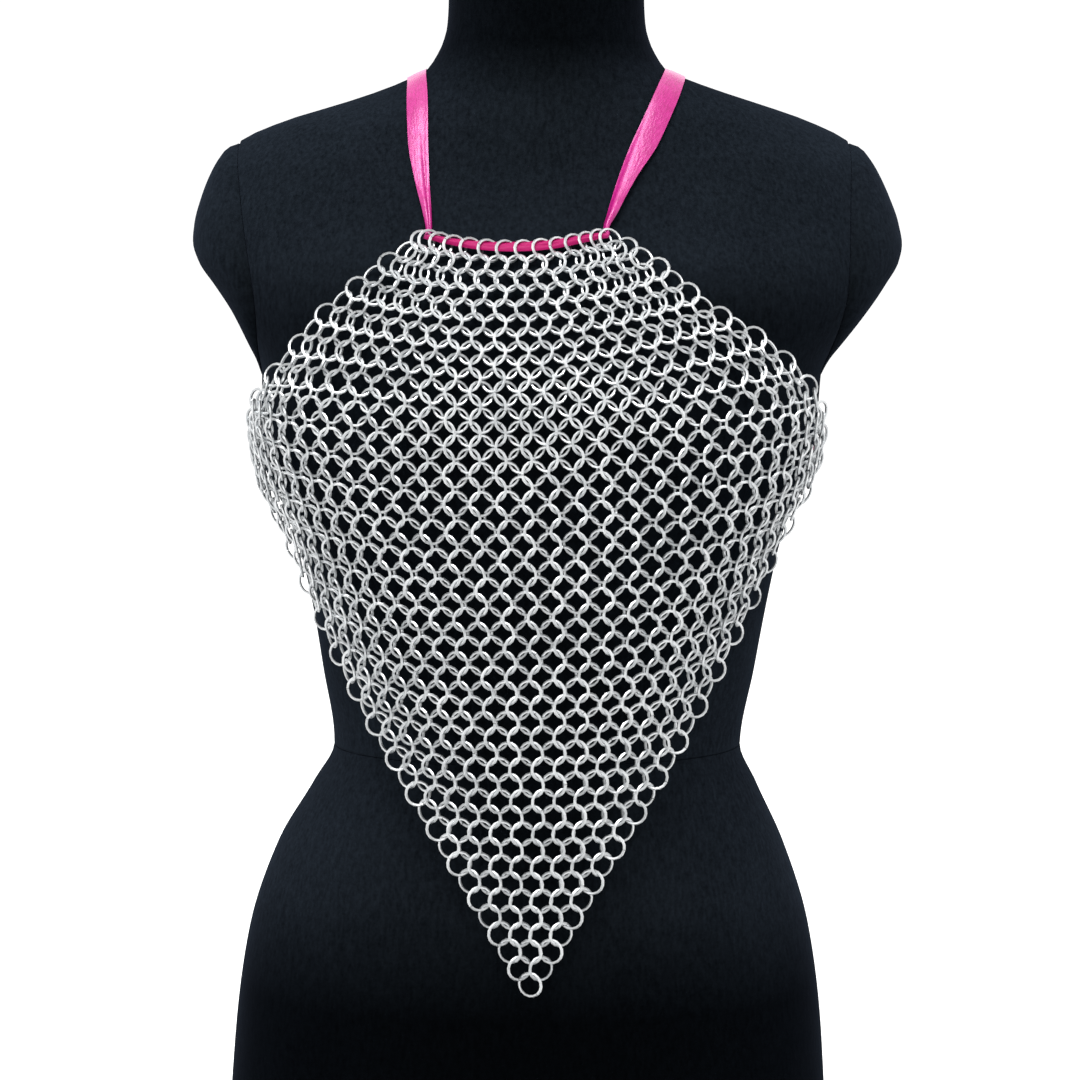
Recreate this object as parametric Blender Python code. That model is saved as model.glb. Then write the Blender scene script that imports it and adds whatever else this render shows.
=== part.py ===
"""Chainmail halter top on a limbless dress form.

The garment is one kite-shaped panel of linked rings, hung from a satin ribbon that is threaded through
its top row and tied behind the neck, and held back by a second ribbon tied across the back.  Here the
mail is a wall as thick as the linked rings, laid through their centres.  The form is a torso in two
halves with a cap over each armhole, and it stands on its flat hip end.

Tables and lengths are in millimetres.  +Z is up, the garment faces -Y, and left is the -X side.
"""

import math

import bpy
import numpy as np

MM = 0.001
GAP = 0.3                       # clearance between neighbouring pieces

# ---------------------------------------------------------------- rings and ribbon

RING_INSIDE = 10.3              # inside diameter of one ring
WIRE = 1.4                      # wire diameter
RING_RADIUS = RING_INSIDE / 2 + WIRE
MAIL_THICK = 5.0                # depth of the linked rings, which lean to and fro
TOP_ROW = 49                    # rows are counted from the single ring at the tip
WIDE_ROW = 31                   # the row that reaches the side corners
RIBBON_THICK = 1.0
THREAD_HIGH = 5.4               # the ribbon's height where it is threaded and gathered
THREAD_THICK = 2.2

# ---------------------------------------------------------------- dress form

# One row for each level section of the form.  Front and back are measured from the plane through the
# sides of the waist, ridge is where the section is widest, and power is its superellipse exponent.
FORM_COLUMNS = ("height", "middle", "half", "front", "back", "ridge", "power")
FORM_SECTIONS = (
    (0.0, -10.1, 162.0, 93.0, 112.0, 6.0, 2.25),
    (60.0, -9.5, 157.5, 92.0, 113.0, 6.0, 2.25),
    (105.0, -9.2, 150.6, 89.0, 107.0, 4.0, 2.20),
    (150.0, -8.4, 135.8, 85.0, 95.0, 3.0, 2.20),
    (182.0, -6.2, 118.9, 80.0, 85.0, 2.0, 2.20),
    (204.0, -4.9, 108.6, 76.0, 79.0, 0.0, 2.20),
    (245.0, -4.0, 115.0, 79.0, 80.0, 0.0, 2.25),
    (285.0, -3.6, 121.8, 84.0, 83.0, 0.0, 2.30),
    (320.0, -4.0, 130.0, 92.0, 88.0, 0.0, 2.35),
    (360.0, -4.0, 146.0, 98.0, 93.0, 0.0, 2.45),
    (400.0, -2.6, 147.0, 98.0, 98.0, 2.0, 2.50),
    (440.0, 2.0, 166.0, 90.5, 101.0, 4.0, 2.50),
    (480.0, 0.0, 175.0, 69.5, 101.0, 6.0, 2.40),
    (505.0, -0.9, 175.0, 58.0, 96.0, 8.0, 2.10),
    (523.0, -1.2, 160.5, 53.0, 88.0, 9.0, 1.75),
    (533.0, -0.2, 139.5, 50.5, 81.0, 9.0, 1.70),
    (543.5, 1.8, 106.2, 48.5, 72.0, 8.0, 1.75),
    (549.0, 1.6, 88.8, 47.5, 67.0, 7.0, 1.80),
    (554.0, 0.6, 74.6, 47.0, 62.5, 5.0, 1.90),
    (559.0, 0.0, 63.0, 46.5, 58.5, 3.0, 2.00),
    (565.0, 0.0, 58.4, 46.5, 54.5, 1.0, 2.00),
    (572.0, 0.0, 54.6, 47.0, 51.5, 0.0, 2.00),
    (582.0, 0.0, 51.8, 48.3, 49.5, -1.0, 2.00),
    (596.0, 0.0, 51.0, 50.5, 48.0, -2.0, 2.00),
    (610.0, 0.0, 51.0, 53.0, 46.0, -4.0, 2.00),
)
FORM_SIDES = 44                 # points round each section
WAIST_SEAM = 204.0
UPPER_LEVELS = (204, 225, 245, 265, 285, 303, 320, 340, 360, 380, 400, 420, 440, 460, 480, 495, 509,
                523, 533, 543.5, 549, 554, 559, 565, 572, 582, 596, 610)
LOWER_LEVELS = (0, 35, 70, 105, 130, 150, 167, 182, 194, 204)

BUST_OUT = 14.5                 # how far each side of the bust stands out
BUST_APART = 60.0               # from the middle of the form to each high point
BUST_HEIGHT = 362.0
BUST_WIDE = 40.0
BUST_TALL = 34.0

# The armhole is cut flat, further out at the shoulder end than at the armpit: how far from the middle of
# the form, and the height.
ARMPIT = (146.6, 400.0)
SHOULDER_END = (160.5, 523.0)

# One row for each level of an armhole cap: how far it stands out from the flat armhole.
CAP_COLUMNS = ("height", "out")
CAP_SECTIONS = (
    (401.0, 0.6),
    (408.0, 3.0),
    (416.0, 7.2),
    (431.0, 15.2),
    (447.0, 24.4),
    (459.0, 31.0),
    (468.0, 32.7),
    (479.0, 30.5),
    (494.0, 24.3),
    (506.0, 17.7),
    (514.0, 12.0),
    (520.0, 5.6),
)
CAP_SIDES = 12
CAP_GAP = 0.5                   # between the flat armhole and the cap
CAP_INSET = 1.0                 # the cap's rim lies this far inside the armhole's outline

# ---------------------------------------------------------------- mail panel

# The surface that the mail hangs on, as level sections of its middle.
DRAPE_COLUMNS = ("height", "middle", "half", "front", "power")
DRAPE_SECTIONS = (
    (60.0, -10.0, 158.0, 98.5, 2.10),
    (150.0, -8.5, 146.0, 100.0, 2.10),
    (210.0, -6.0, 130.0, 102.0, 2.10),
    (260.0, -5.2, 126.5, 106.0, 2.28),
    (310.0, -4.8, 132.5, 113.0, 2.54),
    (350.0, -4.6, 145.8, 118.0, 2.87),
    (385.0, -4.6, 149.4, 118.0, 3.47),
    (415.0, -4.3, 151.5, 109.5, 2.86),
    (440.0, -4.0, 154.0, 98.0, 2.51),
    (470.0, -4.0, 157.0, 81.0, 2.50),
)

# One row for each ring row that is set out: the height of its middle and of its last rings, how far those
# are from its middle along the mail, how much wider its middle rings lie apart, how far along the mail its
# middle and its ends are drawn aside, since the top hangs a little off centre, and how much higher its
# right end is than its left.  The last four bend the inside of a row and leave its ends alone: how far its
# two halves slope, how high they stand over a parabola, how far both are drawn aside, and how much wider
# the rings near the ends lie apart.
ROW_COLUMNS = (
    "row", "centre", "edge", "reach", "crowd", "sway", "drift", "tilt", "slant", "arch", "bow", "swell")
RING_ROWS = (
    (0, 96.6, 96.6, 0.0, 0.00, 1.2, 1.2, 0.0, 0.0, 0.0, 0.0, 0.00),
    (8, 165.6, 166.9, 41.1, 0.00, 0.9, 0.0, -0.7, -0.3, 1.5, -1.3, -0.03),
    (12, 198.9, 201.4, 63.2, 0.04, -0.8, -1.4, -0.5, 1.6, -0.8, -2.6, -0.03),
    (16, 230.3, 235.6, 86.0, 0.06, -2.5, -2.3, 0.7, 2.6, -2.6, -1.6, 0.00),
    (20, 260.9, 270.8, 109.7, 0.09, -3.6, -3.6, 2.2, 4.5, -8.1, 2.0, -0.01),
    (24, 290.4, 305.9, 135.7, 0.09, -5.3, -3.7, 3.0, 5.8, -9.8, 4.7, -0.04),
    (28, 319.0, 338.7, 161.3, 0.09, -6.6, -4.2, 5.2, 6.1, -3.3, 3.6, -0.02),
    (31, 340.2, 360.9, 178.0, 0.11, -7.8, -4.3, 6.0, 6.8, 2.9, 1.7, -0.02),
    (34, 361.1, 377.7, 165.9, 0.05, -8.2, -5.9, 9.3, 6.6, 4.3, -4.5, 0.08),
    (37, 380.5, 395.1, 144.3, 0.04, -8.7, -9.8, 13.2, 5.7, 10.1, -1.0, 0.12),
    (40, 399.4, 413.9, 118.9, 0.09, -9.5, -10.3, 11.2, 2.5, 9.4, -1.6, 0.03),
    (43, 419.1, 432.9, 93.8, 0.12, -10.1, -12.8, 3.7, 2.2, 5.3, -2.3, -0.04),
    (46, 440.5, 451.9, 70.1, 0.15, -11.1, -11.7, 3.5, 1.9, -0.6, -0.7, -0.10),
    (49, 462.4, 468.0, 46.3, 0.28, -11.0, -11.0, 0.3, 1.0, 5.7, -3.0, 0.00),
)
MAIL_COLUMNS = 20               # faces across each row
OPEN_RING = 0.92                # share of a ring that shows past the edge where the last ring stands open
CLOSED_RING = 0.6               # the same where it lies folded behind its neighbours
CLOSE_ROW = 12                  # below this row every last ring stands open
STEEP_EDGE = 1.15               # the most that a sloping edge adds to the length along a row
UNDER_THREAD = 0.46             # the wall stops this share of a row under the threaded ribbon

# ---------------------------------------------------------------- ribbons

# Plan points of the strap over the form, with its width and its height off the form.
STRAP_COLUMNS = ("x", "y", "wide", "lift")
LEFT_STRAP = (
    (-59.4, -71.5, 3.6, 3.6),
    (-60.7, -66.5, 4.8, 3.0),
    (-62.4, -58.0, 7.4, 2.2),
    (-64.5, -48.0, 10.4, 1.5),
    (-66.1, -34.0, 11.0, 0.9),
    (-67.3, -18.0, 11.0, 0.7),
    (-68.0, -4.0, 11.2, 0.7),
    (-68.0, 8.0, 12.0, 0.8),
    (-65.0, 22.0, 13.0, 0.9),
    (-57.0, 37.0, 13.6, 0.9),
    (-43.0, 50.0, 13.6, 0.8),
    (-26.0, 58.5, 11.6, 0.7),
    (-6.2, 63.0, 7.0, 1.0),
)
RIGHT_STRAP = (
    (27.6, -73.5, 3.6, 3.6),
    (31.2, -68.5, 5.0, 3.0),
    (39.5, -58.5, 8.6, 2.2),
    (50.0, -49.0, 12.4, 1.5),
    (59.6, -36.0, 13.0, 0.9),
    (65.0, -18.0, 12.6, 1.0),
    (66.8, -4.0, 12.0, 1.4),
    (66.8, 8.0, 12.4, 1.5),
    (65.0, 22.0, 13.0, 1.1),
    (57.0, 37.0, 13.6, 0.9),
    (43.0, 50.0, 13.6, 0.8),
    (26.0, 58.5, 11.6, 0.7),
    (6.2, 63.0, 7.0, 1.0),
)
STRAP_STEPS = 26

# The back ribbon, by its angle round the form from the front, its height, width and lift.  On each side it
# starts behind the last ring of the widest row, which lies further round on the left than on the right.
TIE_COLUMNS = ("angle", "height", "wide", "lift")
TIE_CORNERS = {
    -1: (70.5, 358.4, 4.0, 1.3),
    1: (64.5, 364.0, 4.0, 1.6),
}
BACK_TIE = (
    (77.0, 361.4, 4.6, 1.5),
    (84.0, 362.2, 6.5, 1.4),
    (94.0, 362.6, 10.6, 1.0),
    (108.0, 363.4, 14.0, 0.7),
    (130.0, 364.6, 14.0, 0.6),
    (155.0, 365.4, 14.0, 0.6),
    (172.0, 365.8, 11.6, 0.6),
    (178.95, 366.0, 7.0, 1.0),
)
TIE_STEPS = 24
KNOT_SIZE = (11.0, 5.0, 12.0)   # along the ribbon, off the form, and up
KNOT_LIFT = 1.2
NAPE_Y = 63.0

# The object stands with the middle of its plan at the origin.
PLAN_SHIFT = (0.12, 3.89, 0.0)


def column(table, names, name):
    """The values of one named column of a table."""
    return np.array([row[names.index(name)] for row in table], dtype=float)


def smooth(x, knots, values):
    """A smooth curve through the knots that never overshoots them (a monotone cubic)."""
    x = np.clip(np.asarray(x, dtype=float), knots[0], knots[-1])
    step = np.diff(knots)
    slope = np.diff(values) / step
    tangent = np.zeros_like(values)
    same = slope[:-1] * slope[1:] > 0
    w1 = 2 * step[1:] + step[:-1]
    w2 = step[1:] + 2 * step[:-1]
    safe = np.where(same, slope[:-1], 1.0)
    safe_next = np.where(same, slope[1:], 1.0)
    tangent[1:-1] = np.where(same, (w1 + w2) / (w1 / safe + w2 / safe_next), 0.0)
    tangent[0] = slope[0]
    tangent[-1] = slope[-1]
    i = np.clip(np.searchsorted(knots, x, side="right") - 1, 0, len(step) - 1)
    t = (x - knots[i]) / step[i]
    h = step[i]
    return (values[i] * (1 + 2 * t) * (1 - t) ** 2 + tangent[i] * h * t * (1 - t) ** 2
            + values[i + 1] * t ** 2 * (3 - 2 * t) + tangent[i + 1] * h * t ** 2 * (t - 1))


def read(table, names, name, at):
    """One column of a table, read smoothly against its first column."""
    return smooth(at, column(table, names, names[0]), column(table, names, name))


def signed_power(value, exponent):
    """A power that keeps the sign, so that a superellipse closes on every side."""
    return np.sign(value) * np.abs(value) ** exponent


# ---------------------------------------------------------------- the form's surface

def armhole_plane(height):
    """How far out the flat armhole lies at a height."""
    share = (height - ARMPIT[1]) / (SHOULDER_END[1] - ARMPIT[1])
    return ARMPIT[0] + share * (SHOULDER_END[0] - ARMPIT[0])


def bust(x, height):
    """How far the bust stands out in front of the plain section."""
    tall = np.exp(-0.5 * ((height - BUST_HEIGHT) / BUST_TALL) ** 2)
    left = np.exp(-0.5 * ((x + BUST_APART) / BUST_WIDE) ** 2)
    right = np.exp(-0.5 * ((x - BUST_APART) / BUST_WIDE) ** 2)
    return BUST_OUT * tall * (left + right)


def form_point(angle, height):
    """A point of the form: angle in degrees from the front towards +X, and height."""
    turn = np.radians(angle)
    height = np.asarray(height, dtype=float) + 0.0 * turn
    middle, half, front, back, ridge, power = (
        read(FORM_SECTIONS, FORM_COLUMNS, name, height) for name in FORM_COLUMNS[1:])
    across = half * signed_power(np.sin(turn), 2 / power)
    ahead = signed_power(np.cos(turn), 2 / power)
    depth = np.where(ahead > 0, -(front + ridge), ridge - back) * ahead
    depth = ridge + depth - bust(across, height) * np.clip(ahead, 0, 1)
    limit = armhole_plane(height)
    cut = (height >= ARMPIT[1]) & (height <= SHOULDER_END[1])
    x = middle + np.where(cut, np.clip(across, -limit, limit), across)
    return np.stack([x, depth, height], axis=-1)


def form_height(x, y):
    """The height of the form's upper surface over a plan point, found by halving."""
    low = np.full(np.shape(x), 420.0)
    high = np.full(np.shape(x), 600.0)
    for _ in range(40):
        level = (low + high) / 2
        middle, half, front, back, ridge, power = (
            read(FORM_SECTIONS, FORM_COLUMNS, name, level) for name in FORM_COLUMNS[1:])
        reach = np.where(y < ridge, front + ridge, back - ridge)
        inside = np.abs((x - middle) / half) ** power + np.abs((y - ridge) / reach) ** power < 1
        low = np.where(inside, level, low)
        high = np.where(inside, high, level)
    return (low + high) / 2


# ---------------------------------------------------------------- the mail's surface

def drape_point(turn, height):
    """A point of the mail's middle surface: turn in radians from the front, and height."""
    middle, half, front, power = (
        read(DRAPE_SECTIONS, DRAPE_COLUMNS, name, height) for name in DRAPE_COLUMNS[1:])
    x = middle + half * signed_power(np.sin(turn), 2 / power)
    y = -front * signed_power(np.cos(turn), 2 / power)
    return np.stack([x, y, height + 0.0 * turn], axis=-1)


def drape_turn(reach, height):
    """The turn at which a level section of the drape has run the length `reach` from the front."""
    turns = np.linspace(0, math.pi / 2, 181)
    points = drape_point(turns, np.full_like(turns, height))
    run = np.concatenate([[0.0], np.cumsum(np.linalg.norm(np.diff(points, axis=0), axis=1))])
    return np.sign(reach) * np.interp(abs(reach), run, turns)


def mail_point(row, share):
    """A point of the mail's middle at a ring row; share runs from -1 to 1 between the last rings.

    Past the last ring the point goes on at the same spacing."""
    centre, edge, reach, crowd, sway, drift, tilt, slant, arch, bow, swell = (
        float(read(RING_ROWS, ROW_COLUMNS, name, row)) for name in ROW_COLUMNS[1:])
    inner = min(max(share, -1.0), 1.0)
    free = 1 - inner ** 2
    aside = sway + (drift - sway) * inner ** 2 + bow * inner ** 2 * free
    spread = 1 + free * (crowd + swell * inner ** 2)
    run = aside + reach * inner * spread + (share - inner) * reach
    height = centre + (edge - centre) * inner ** 2 + tilt / 2 * inner ** 3
    height = height + slant * inner * free + arch * inner ** 2 * free
    return drape_point(drape_turn(run, height), height)


# ---------------------------------------------------------------- meshes and materials

def material(name, colour, roughness, metallic=0.0):
    """A Principled material in one colour, given as linear red, green and blue."""
    made = bpy.data.materials.new(name)
    made.use_nodes = True
    shader = made.node_tree.nodes["Principled BSDF"]
    shader.inputs["Base Color"].default_value = (*colour, 1.0)
    shader.inputs["Roughness"].default_value = roughness
    shader.inputs["Metallic"].default_value = metallic
    made.diffuse_color = (*colour, 1.0)
    return made


def add_object(name, points, faces, finish):
    """One named piece, from points in millimetres."""
    mesh = bpy.data.meshes.new(name)
    moved = np.asarray(points, dtype=float) + PLAN_SHIFT
    mesh.from_pydata((moved * MM).tolist(), [], faces)
    mesh.materials.append(finish)
    mesh.shade_smooth()
    mesh.set_sharp_from_angle(angle=math.radians(40))
    piece = bpy.data.objects.new(name, mesh)
    bpy.context.scene.collection.objects.link(piece)
    return piece


def stacked_rings(rings):
    """Faces of a closed body from rings of equal length, stacked upwards and closed at both ends."""
    sides = len(rings[0])
    faces = []
    for level in range(len(rings) - 1):
        for i in range(sides):
            j = (i + 1) % sides
            low = level * sides
            faces.append((low + i, low + j, low + sides + j, low + sides + i))
    faces.append(tuple(reversed(range(sides))))
    top = (len(rings) - 1) * sides
    faces.append(tuple(range(top, top + sides)))
    return faces


def wall(front, back):
    """Points and faces of a closed wall between two grids of the same rows and columns."""
    rows, columns, _ = front.shape
    points = np.concatenate([front.reshape(-1, 3), back.reshape(-1, 3)])
    far = rows * columns
    faces = []
    for r in range(rows - 1):
        for c in range(columns - 1):
            a = r * columns + c
            b = a + columns
            faces.append((a, a + 1, b + 1, b))
            faces.append((far + a, far + b, far + b + 1, far + a + 1))
    for c in range(columns - 1):
        b = (rows - 1) * columns + c
        faces.append((c + 1, c, far + c, far + c + 1))
        faces.append((b, b + 1, far + b + 1, far + b))
    for r in range(rows - 1):
        a = r * columns
        b = a + columns - 1
        faces.append((a, a + columns, far + a + columns, far + a))
        faces.append((b + columns, b, far + b, far + b + columns))
    return points, faces


def grid_normals(grid):
    """Unit normals of a grid of points, facing its front."""
    along = np.gradient(grid, axis=1)
    up = np.gradient(grid, axis=0)
    normal = np.cross(along, up)
    return normal / np.linalg.norm(normal, axis=-1, keepdims=True)


# ---------------------------------------------------------------- the pieces

def build_form(name, levels, low_gap, high_gap, finish):
    """One half of the torso, as a stack of level sections."""
    angles = np.arange(FORM_SIDES) * 360.0 / FORM_SIDES
    heights = list(levels)
    rings = []
    for i, height in enumerate(heights):
        ring = form_point(angles, float(height))
        ring[:, 2] += low_gap if i == 0 else 0.0
        ring[:, 2] -= high_gap if i == len(heights) - 1 else 0.0
        rings.append(ring)
    return add_object(name, np.concatenate(rings), stacked_rings(rings), finish)


def armhole_sides(height):
    """Where the armhole's outline lies at a height: its front and its back."""
    half, front, back, ridge, power = (
        read(FORM_SECTIONS, FORM_COLUMNS, name, height) for name in FORM_COLUMNS[2:])
    share = armhole_plane(height) / half
    rest = np.clip(1 - share ** power, 0.004, 1) ** (1 / power)
    return ridge - (front + ridge) * rest, ridge + (back - ridge) * rest


def build_cap(name, side, finish):
    """The rounded cap that closes one armhole, flat where it meets the torso."""
    turns = np.radians(np.linspace(-90, 90, CAP_SIDES + 1))
    rings = []
    for height, out in CAP_SECTIONS:
        near, far = armhole_sides(height)
        deep = (far - near) / 2 - CAP_INSET
        middle = read(FORM_SECTIONS, FORM_COLUMNS, "middle", height)
        x = middle + side * (armhole_plane(height) + CAP_GAP + out * np.cos(turns) ** 0.9)
        y = (near + far) / 2 + side * deep * np.sin(turns)
        rings.append(np.stack([x, y, np.full_like(x, height)], axis=-1))
    return add_object(name, np.concatenate(rings), stacked_rings(rings), finish)


def edge_share(row, side):
    """The share at which the mail's edge lies in a row: a ring past its last ring, square to the edge.

    On the left the rings of the odd rows stand open at the edge, on the right those of the even rows."""
    above = min(row + 1.0, TOP_ROW)
    below = max(row - 1.0, 0.0)
    reach = float(read(RING_ROWS, ROW_COLUMNS, "reach", row))
    run = read(RING_ROWS, ROW_COLUMNS, "reach", above) - read(RING_ROWS, ROW_COLUMNS, "reach", below)
    rise = read(RING_ROWS, ROW_COLUMNS, "edge", above) - read(RING_ROWS, ROW_COLUMNS, "edge", below)
    stretch = min(float(np.hypot(1.0, run / rise)), STEEP_EDGE)
    is_open = row < CLOSE_ROW or row % 2 == (1 if side < 0 else 0)
    proud = RING_RADIUS * stretch * (OPEN_RING if is_open else CLOSED_RING)
    return side * (reach + proud) / max(reach, RING_RADIUS)


def build_mail(finish):
    """The kite of rings as one wall, stepped at its edges as the ring rows step."""
    rows = [0.0] + [float(row) for row in range(TOP_ROW)]
    grid = np.zeros((len(rows) + 1, MAIL_COLUMNS + 1, 3))
    for i, row in enumerate(rows):
        reach = float(read(RING_ROWS, ROW_COLUMNS, "reach", row))
        shares = np.linspace(edge_share(row, -1), edge_share(row, 1), MAIL_COLUMNS + 1)
        if reach < RING_RADIUS:
            run = shares * RING_RADIUS + RING_ROWS[0][ROW_COLUMNS.index("drift")]
            height = float(read(RING_ROWS, ROW_COLUMNS, "centre", row))
            grid[i] = [drape_point(drape_turn(each, height), height) for each in run]
        else:
            grid[i] = [mail_point(row, each) for each in shares]
    # The tip ring rounds off below its centre, and the top row stops under the threaded ribbon.
    tip = grid[1].copy()
    middle = tip[MAIL_COLUMNS // 2].copy()
    grid[0] = middle + (tip - middle) * 0.45 - (0.0, 0.0, RING_RADIUS - 0.3)
    shares = np.linspace(-1.0, 1.0, MAIL_COLUMNS + 1)
    grid[-1] = [mail_point(TOP_ROW - UNDER_THREAD, each) for each in shares]
    out = grid_normals(grid)
    points, faces = wall(grid + out * MAIL_THICK / 2, grid - out * MAIL_THICK / 2)
    return add_object("mail_front", points, faces, finish)


def build_ribbon(name, centres, normals, widths, thick, finish, across=2):
    """A flat ribbon along a line of centres; its inner face lies on them."""
    normals = normals.copy()
    tangents = np.gradient(centres, axis=0)
    tangents /= np.linalg.norm(tangents, axis=1, keepdims=True)
    normals = normals - tangents * np.sum(normals * tangents, axis=1, keepdims=True)
    normals /= np.linalg.norm(normals, axis=1, keepdims=True)
    side = np.cross(normals, tangents)
    places = np.linspace(-0.5, 0.5, across + 1)
    inner = centres[None] + places[:, None, None] * (side * widths[:, None])[None]
    outer = inner + (normals * thick)[None]
    points, faces = wall(outer, inner)
    return add_object(name, points, faces, finish)


def build_strap(name, table, finish):
    """The neck ribbon from a top corner of the mail over the shoulder to the nape."""
    stations = np.linspace(0, len(table) - 1, STRAP_STEPS + 1)
    knots = np.arange(len(table), dtype=float)
    x, y, wide, lift = (smooth(stations, knots, column(table, STRAP_COLUMNS, name_))
                        for name_ in STRAP_COLUMNS)
    z = form_height(x, y)
    slope_x = (form_height(x + 0.5, y) - form_height(x - 0.5, y))
    slope_y = (form_height(x, y + 0.5) - form_height(x, y - 0.5))
    normals = np.stack([-slope_x, -slope_y, np.ones_like(x)], axis=-1)
    normals /= np.linalg.norm(normals, axis=1, keepdims=True)
    centres = np.stack([x, y, z], axis=-1) + normals * lift[:, None]
    return build_ribbon(name, centres, normals, wide, RIBBON_THICK, finish)


def build_tie(name, side, finish):
    """The back ribbon from a side corner of the mail to the knot in the middle of the back."""
    rows = (TIE_CORNERS[side],) + BACK_TIE
    stations = np.linspace(0, len(rows) - 1, TIE_STEPS + 1)
    knots = np.arange(len(rows), dtype=float)
    angle, height, wide, lift = (smooth(stations, knots, column(rows, TIE_COLUMNS, name_))
                                 for name_ in TIE_COLUMNS)
    here = form_point(side * angle, height)
    along = form_point(side * (angle + 0.5), height) - form_point(side * (angle - 0.5), height)
    up = form_point(side * angle, height + 0.5) - form_point(side * angle, height - 0.5)
    normals = side * np.cross(along, up)
    normals /= np.linalg.norm(normals, axis=1, keepdims=True)
    centres = here + normals * lift[:, None]
    return build_ribbon(name, centres, normals, wide, RIBBON_THICK, finish)


def build_thread(finish):
    """The gathered ribbon through the top row of rings, from one top corner to the other."""
    shares = np.linspace(-1.0, 1.0, 21)
    centres = np.array([mail_point(float(TOP_ROW), each) for each in shares])
    below = np.array([mail_point(TOP_ROW - 1.0, each) for each in shares])
    up = centres - below
    along = np.gradient(centres, axis=0)
    normals = np.cross(along, up)
    normals /= np.linalg.norm(normals, axis=1, keepdims=True)
    widths = np.full(len(shares), THREAD_HIGH)
    inner = centres - normals * THREAD_THICK / 2
    return build_ribbon("neck_ribbon_front", inner, normals, widths, THREAD_THICK, finish)


def build_knot(name, foot, out, finish):
    """A plain rounded knot that sits on the ribbon's line; foot is on the form, out its normal."""
    long, deep, tall = KNOT_SIZE
    along = np.array((1.0, 0.0, 0.0))
    out = out / np.linalg.norm(out)
    up = np.cross(along, out)
    middle = foot + out * (KNOT_LIFT + deep / 2)
    turns = np.radians(np.arange(12) * 30.0)
    rings = []
    for level in np.radians(np.linspace(-70, 70, 7)):
        shrink = np.cos(level) ** 0.6
        a = long / 2 * shrink * signed_power(np.cos(turns), 0.8)
        o = deep / 2 * shrink * signed_power(np.sin(turns), 0.8)
        u = tall / 2 * np.sin(level)
        rings.append(middle + a[:, None] * along + o[:, None] * out + u * up)
    return add_object(name, np.concatenate(rings), stacked_rings(rings), finish)


def main():
    for old in list(bpy.data.objects):
        bpy.data.objects.remove(old, do_unlink=True)
    black = material("form_black", (0.010, 0.012, 0.016), 0.75)
    bright = material("ring_aluminium", (0.78, 0.78, 0.79), 0.32, 1.0)
    pink = material("satin_pink", (0.83, 0.07, 0.34), 0.38)

    build_form("form_lower", LOWER_LEVELS, 0.0, GAP / 2, black)
    build_form("form_upper", UPPER_LEVELS, GAP / 2, 0.0, black)
    build_cap("form_cap_left", -1, black)
    build_cap("form_cap_right", 1, black)
    build_mail(bright)
    build_thread(pink)
    build_strap("neck_ribbon_left", LEFT_STRAP, pink)
    build_strap("neck_ribbon_right", RIGHT_STRAP, pink)
    build_tie("back_ribbon_left", -1, pink)
    build_tie("back_ribbon_right", 1, pink)
    nape_z = float(form_height(np.array(0.0), np.array(NAPE_Y)))
    below = float(form_height(np.array(0.0), np.array(NAPE_Y + 1.0)))
    build_knot("neck_knot", np.array((0.0, NAPE_Y, nape_z)), np.array((0.0, nape_z - below, 1.0)), pink)
    middle_back = form_point(180.0, BACK_TIE[-1][1])
    build_knot("back_knot", middle_back, np.array((0.0, 1.0, 0.0)), pink)


main()
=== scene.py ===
# %% [markdown]
# # A chainmail halter top on a dress form
# The top is one kite-shaped panel of 933 small aluminium rings.  It hangs from a hot pink satin ribbon that
# runs through the highest row of rings and ties behind the neck, and a second ribbon ties across the back.
# We work in millimetres, as a maker does, and turn to metres only where a mesh is filled in.

# %% Load the fixed frame
import math

import bpy
import numpy as np
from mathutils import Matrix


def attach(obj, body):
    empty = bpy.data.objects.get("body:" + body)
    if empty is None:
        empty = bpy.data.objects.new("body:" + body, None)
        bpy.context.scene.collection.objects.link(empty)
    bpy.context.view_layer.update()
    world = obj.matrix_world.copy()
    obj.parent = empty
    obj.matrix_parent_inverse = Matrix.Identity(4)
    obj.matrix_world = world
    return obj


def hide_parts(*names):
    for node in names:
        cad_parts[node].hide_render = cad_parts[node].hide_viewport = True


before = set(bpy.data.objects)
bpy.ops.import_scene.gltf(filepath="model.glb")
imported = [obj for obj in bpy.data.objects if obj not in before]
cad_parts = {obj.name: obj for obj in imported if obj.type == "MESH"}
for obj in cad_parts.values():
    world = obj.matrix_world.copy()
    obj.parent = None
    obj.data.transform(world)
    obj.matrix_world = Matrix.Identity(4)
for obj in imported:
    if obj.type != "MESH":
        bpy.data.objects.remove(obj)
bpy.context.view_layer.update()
MM = 0.001
PLAN_SHIFT = np.array((0.12, 3.89, 0.0))  # the form's own axes, moved to the middle of the whole plan

# %% [markdown]
# ## Camera
# The camera comes first, because everything else is judged through it.  It stands 1.3 m in front of the
# form at chest height, tipped down by five degrees, with a lens a little longer than a portrait lens, so the
# sides of the form are seen almost straight on.

# %% Camera
LENS, SENSOR = 81.3, 36.0  # mm
CAMERA_PLACE = (-0.00323, -1.29111, 0.42598)  # metres
CAMERA_TILT = 84.97  # degrees; 90 would look level
camera_data = bpy.data.cameras.new("camera")
camera_data.lens = LENS
camera_data.sensor_width = SENSOR
camera = bpy.data.objects.new("camera", camera_data)
camera.location = CAMERA_PLACE
camera.rotation_euler = (math.radians(CAMERA_TILT), 0.0, 0.0)
bpy.context.scene.collection.objects.link(camera)
bpy.context.scene.camera = camera
print("camera", tuple(round(c, 3) for c in camera.location))

# %% [markdown]
# ## Small helpers
# Colours are written as sRGB hex codes, the numbers that any paint program shows, and one function turns
# them into the linear light that the renderer works in.  One more function adds a shader node together with
# its settings and links, so that a material reads from top to bottom like a recipe.

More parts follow.
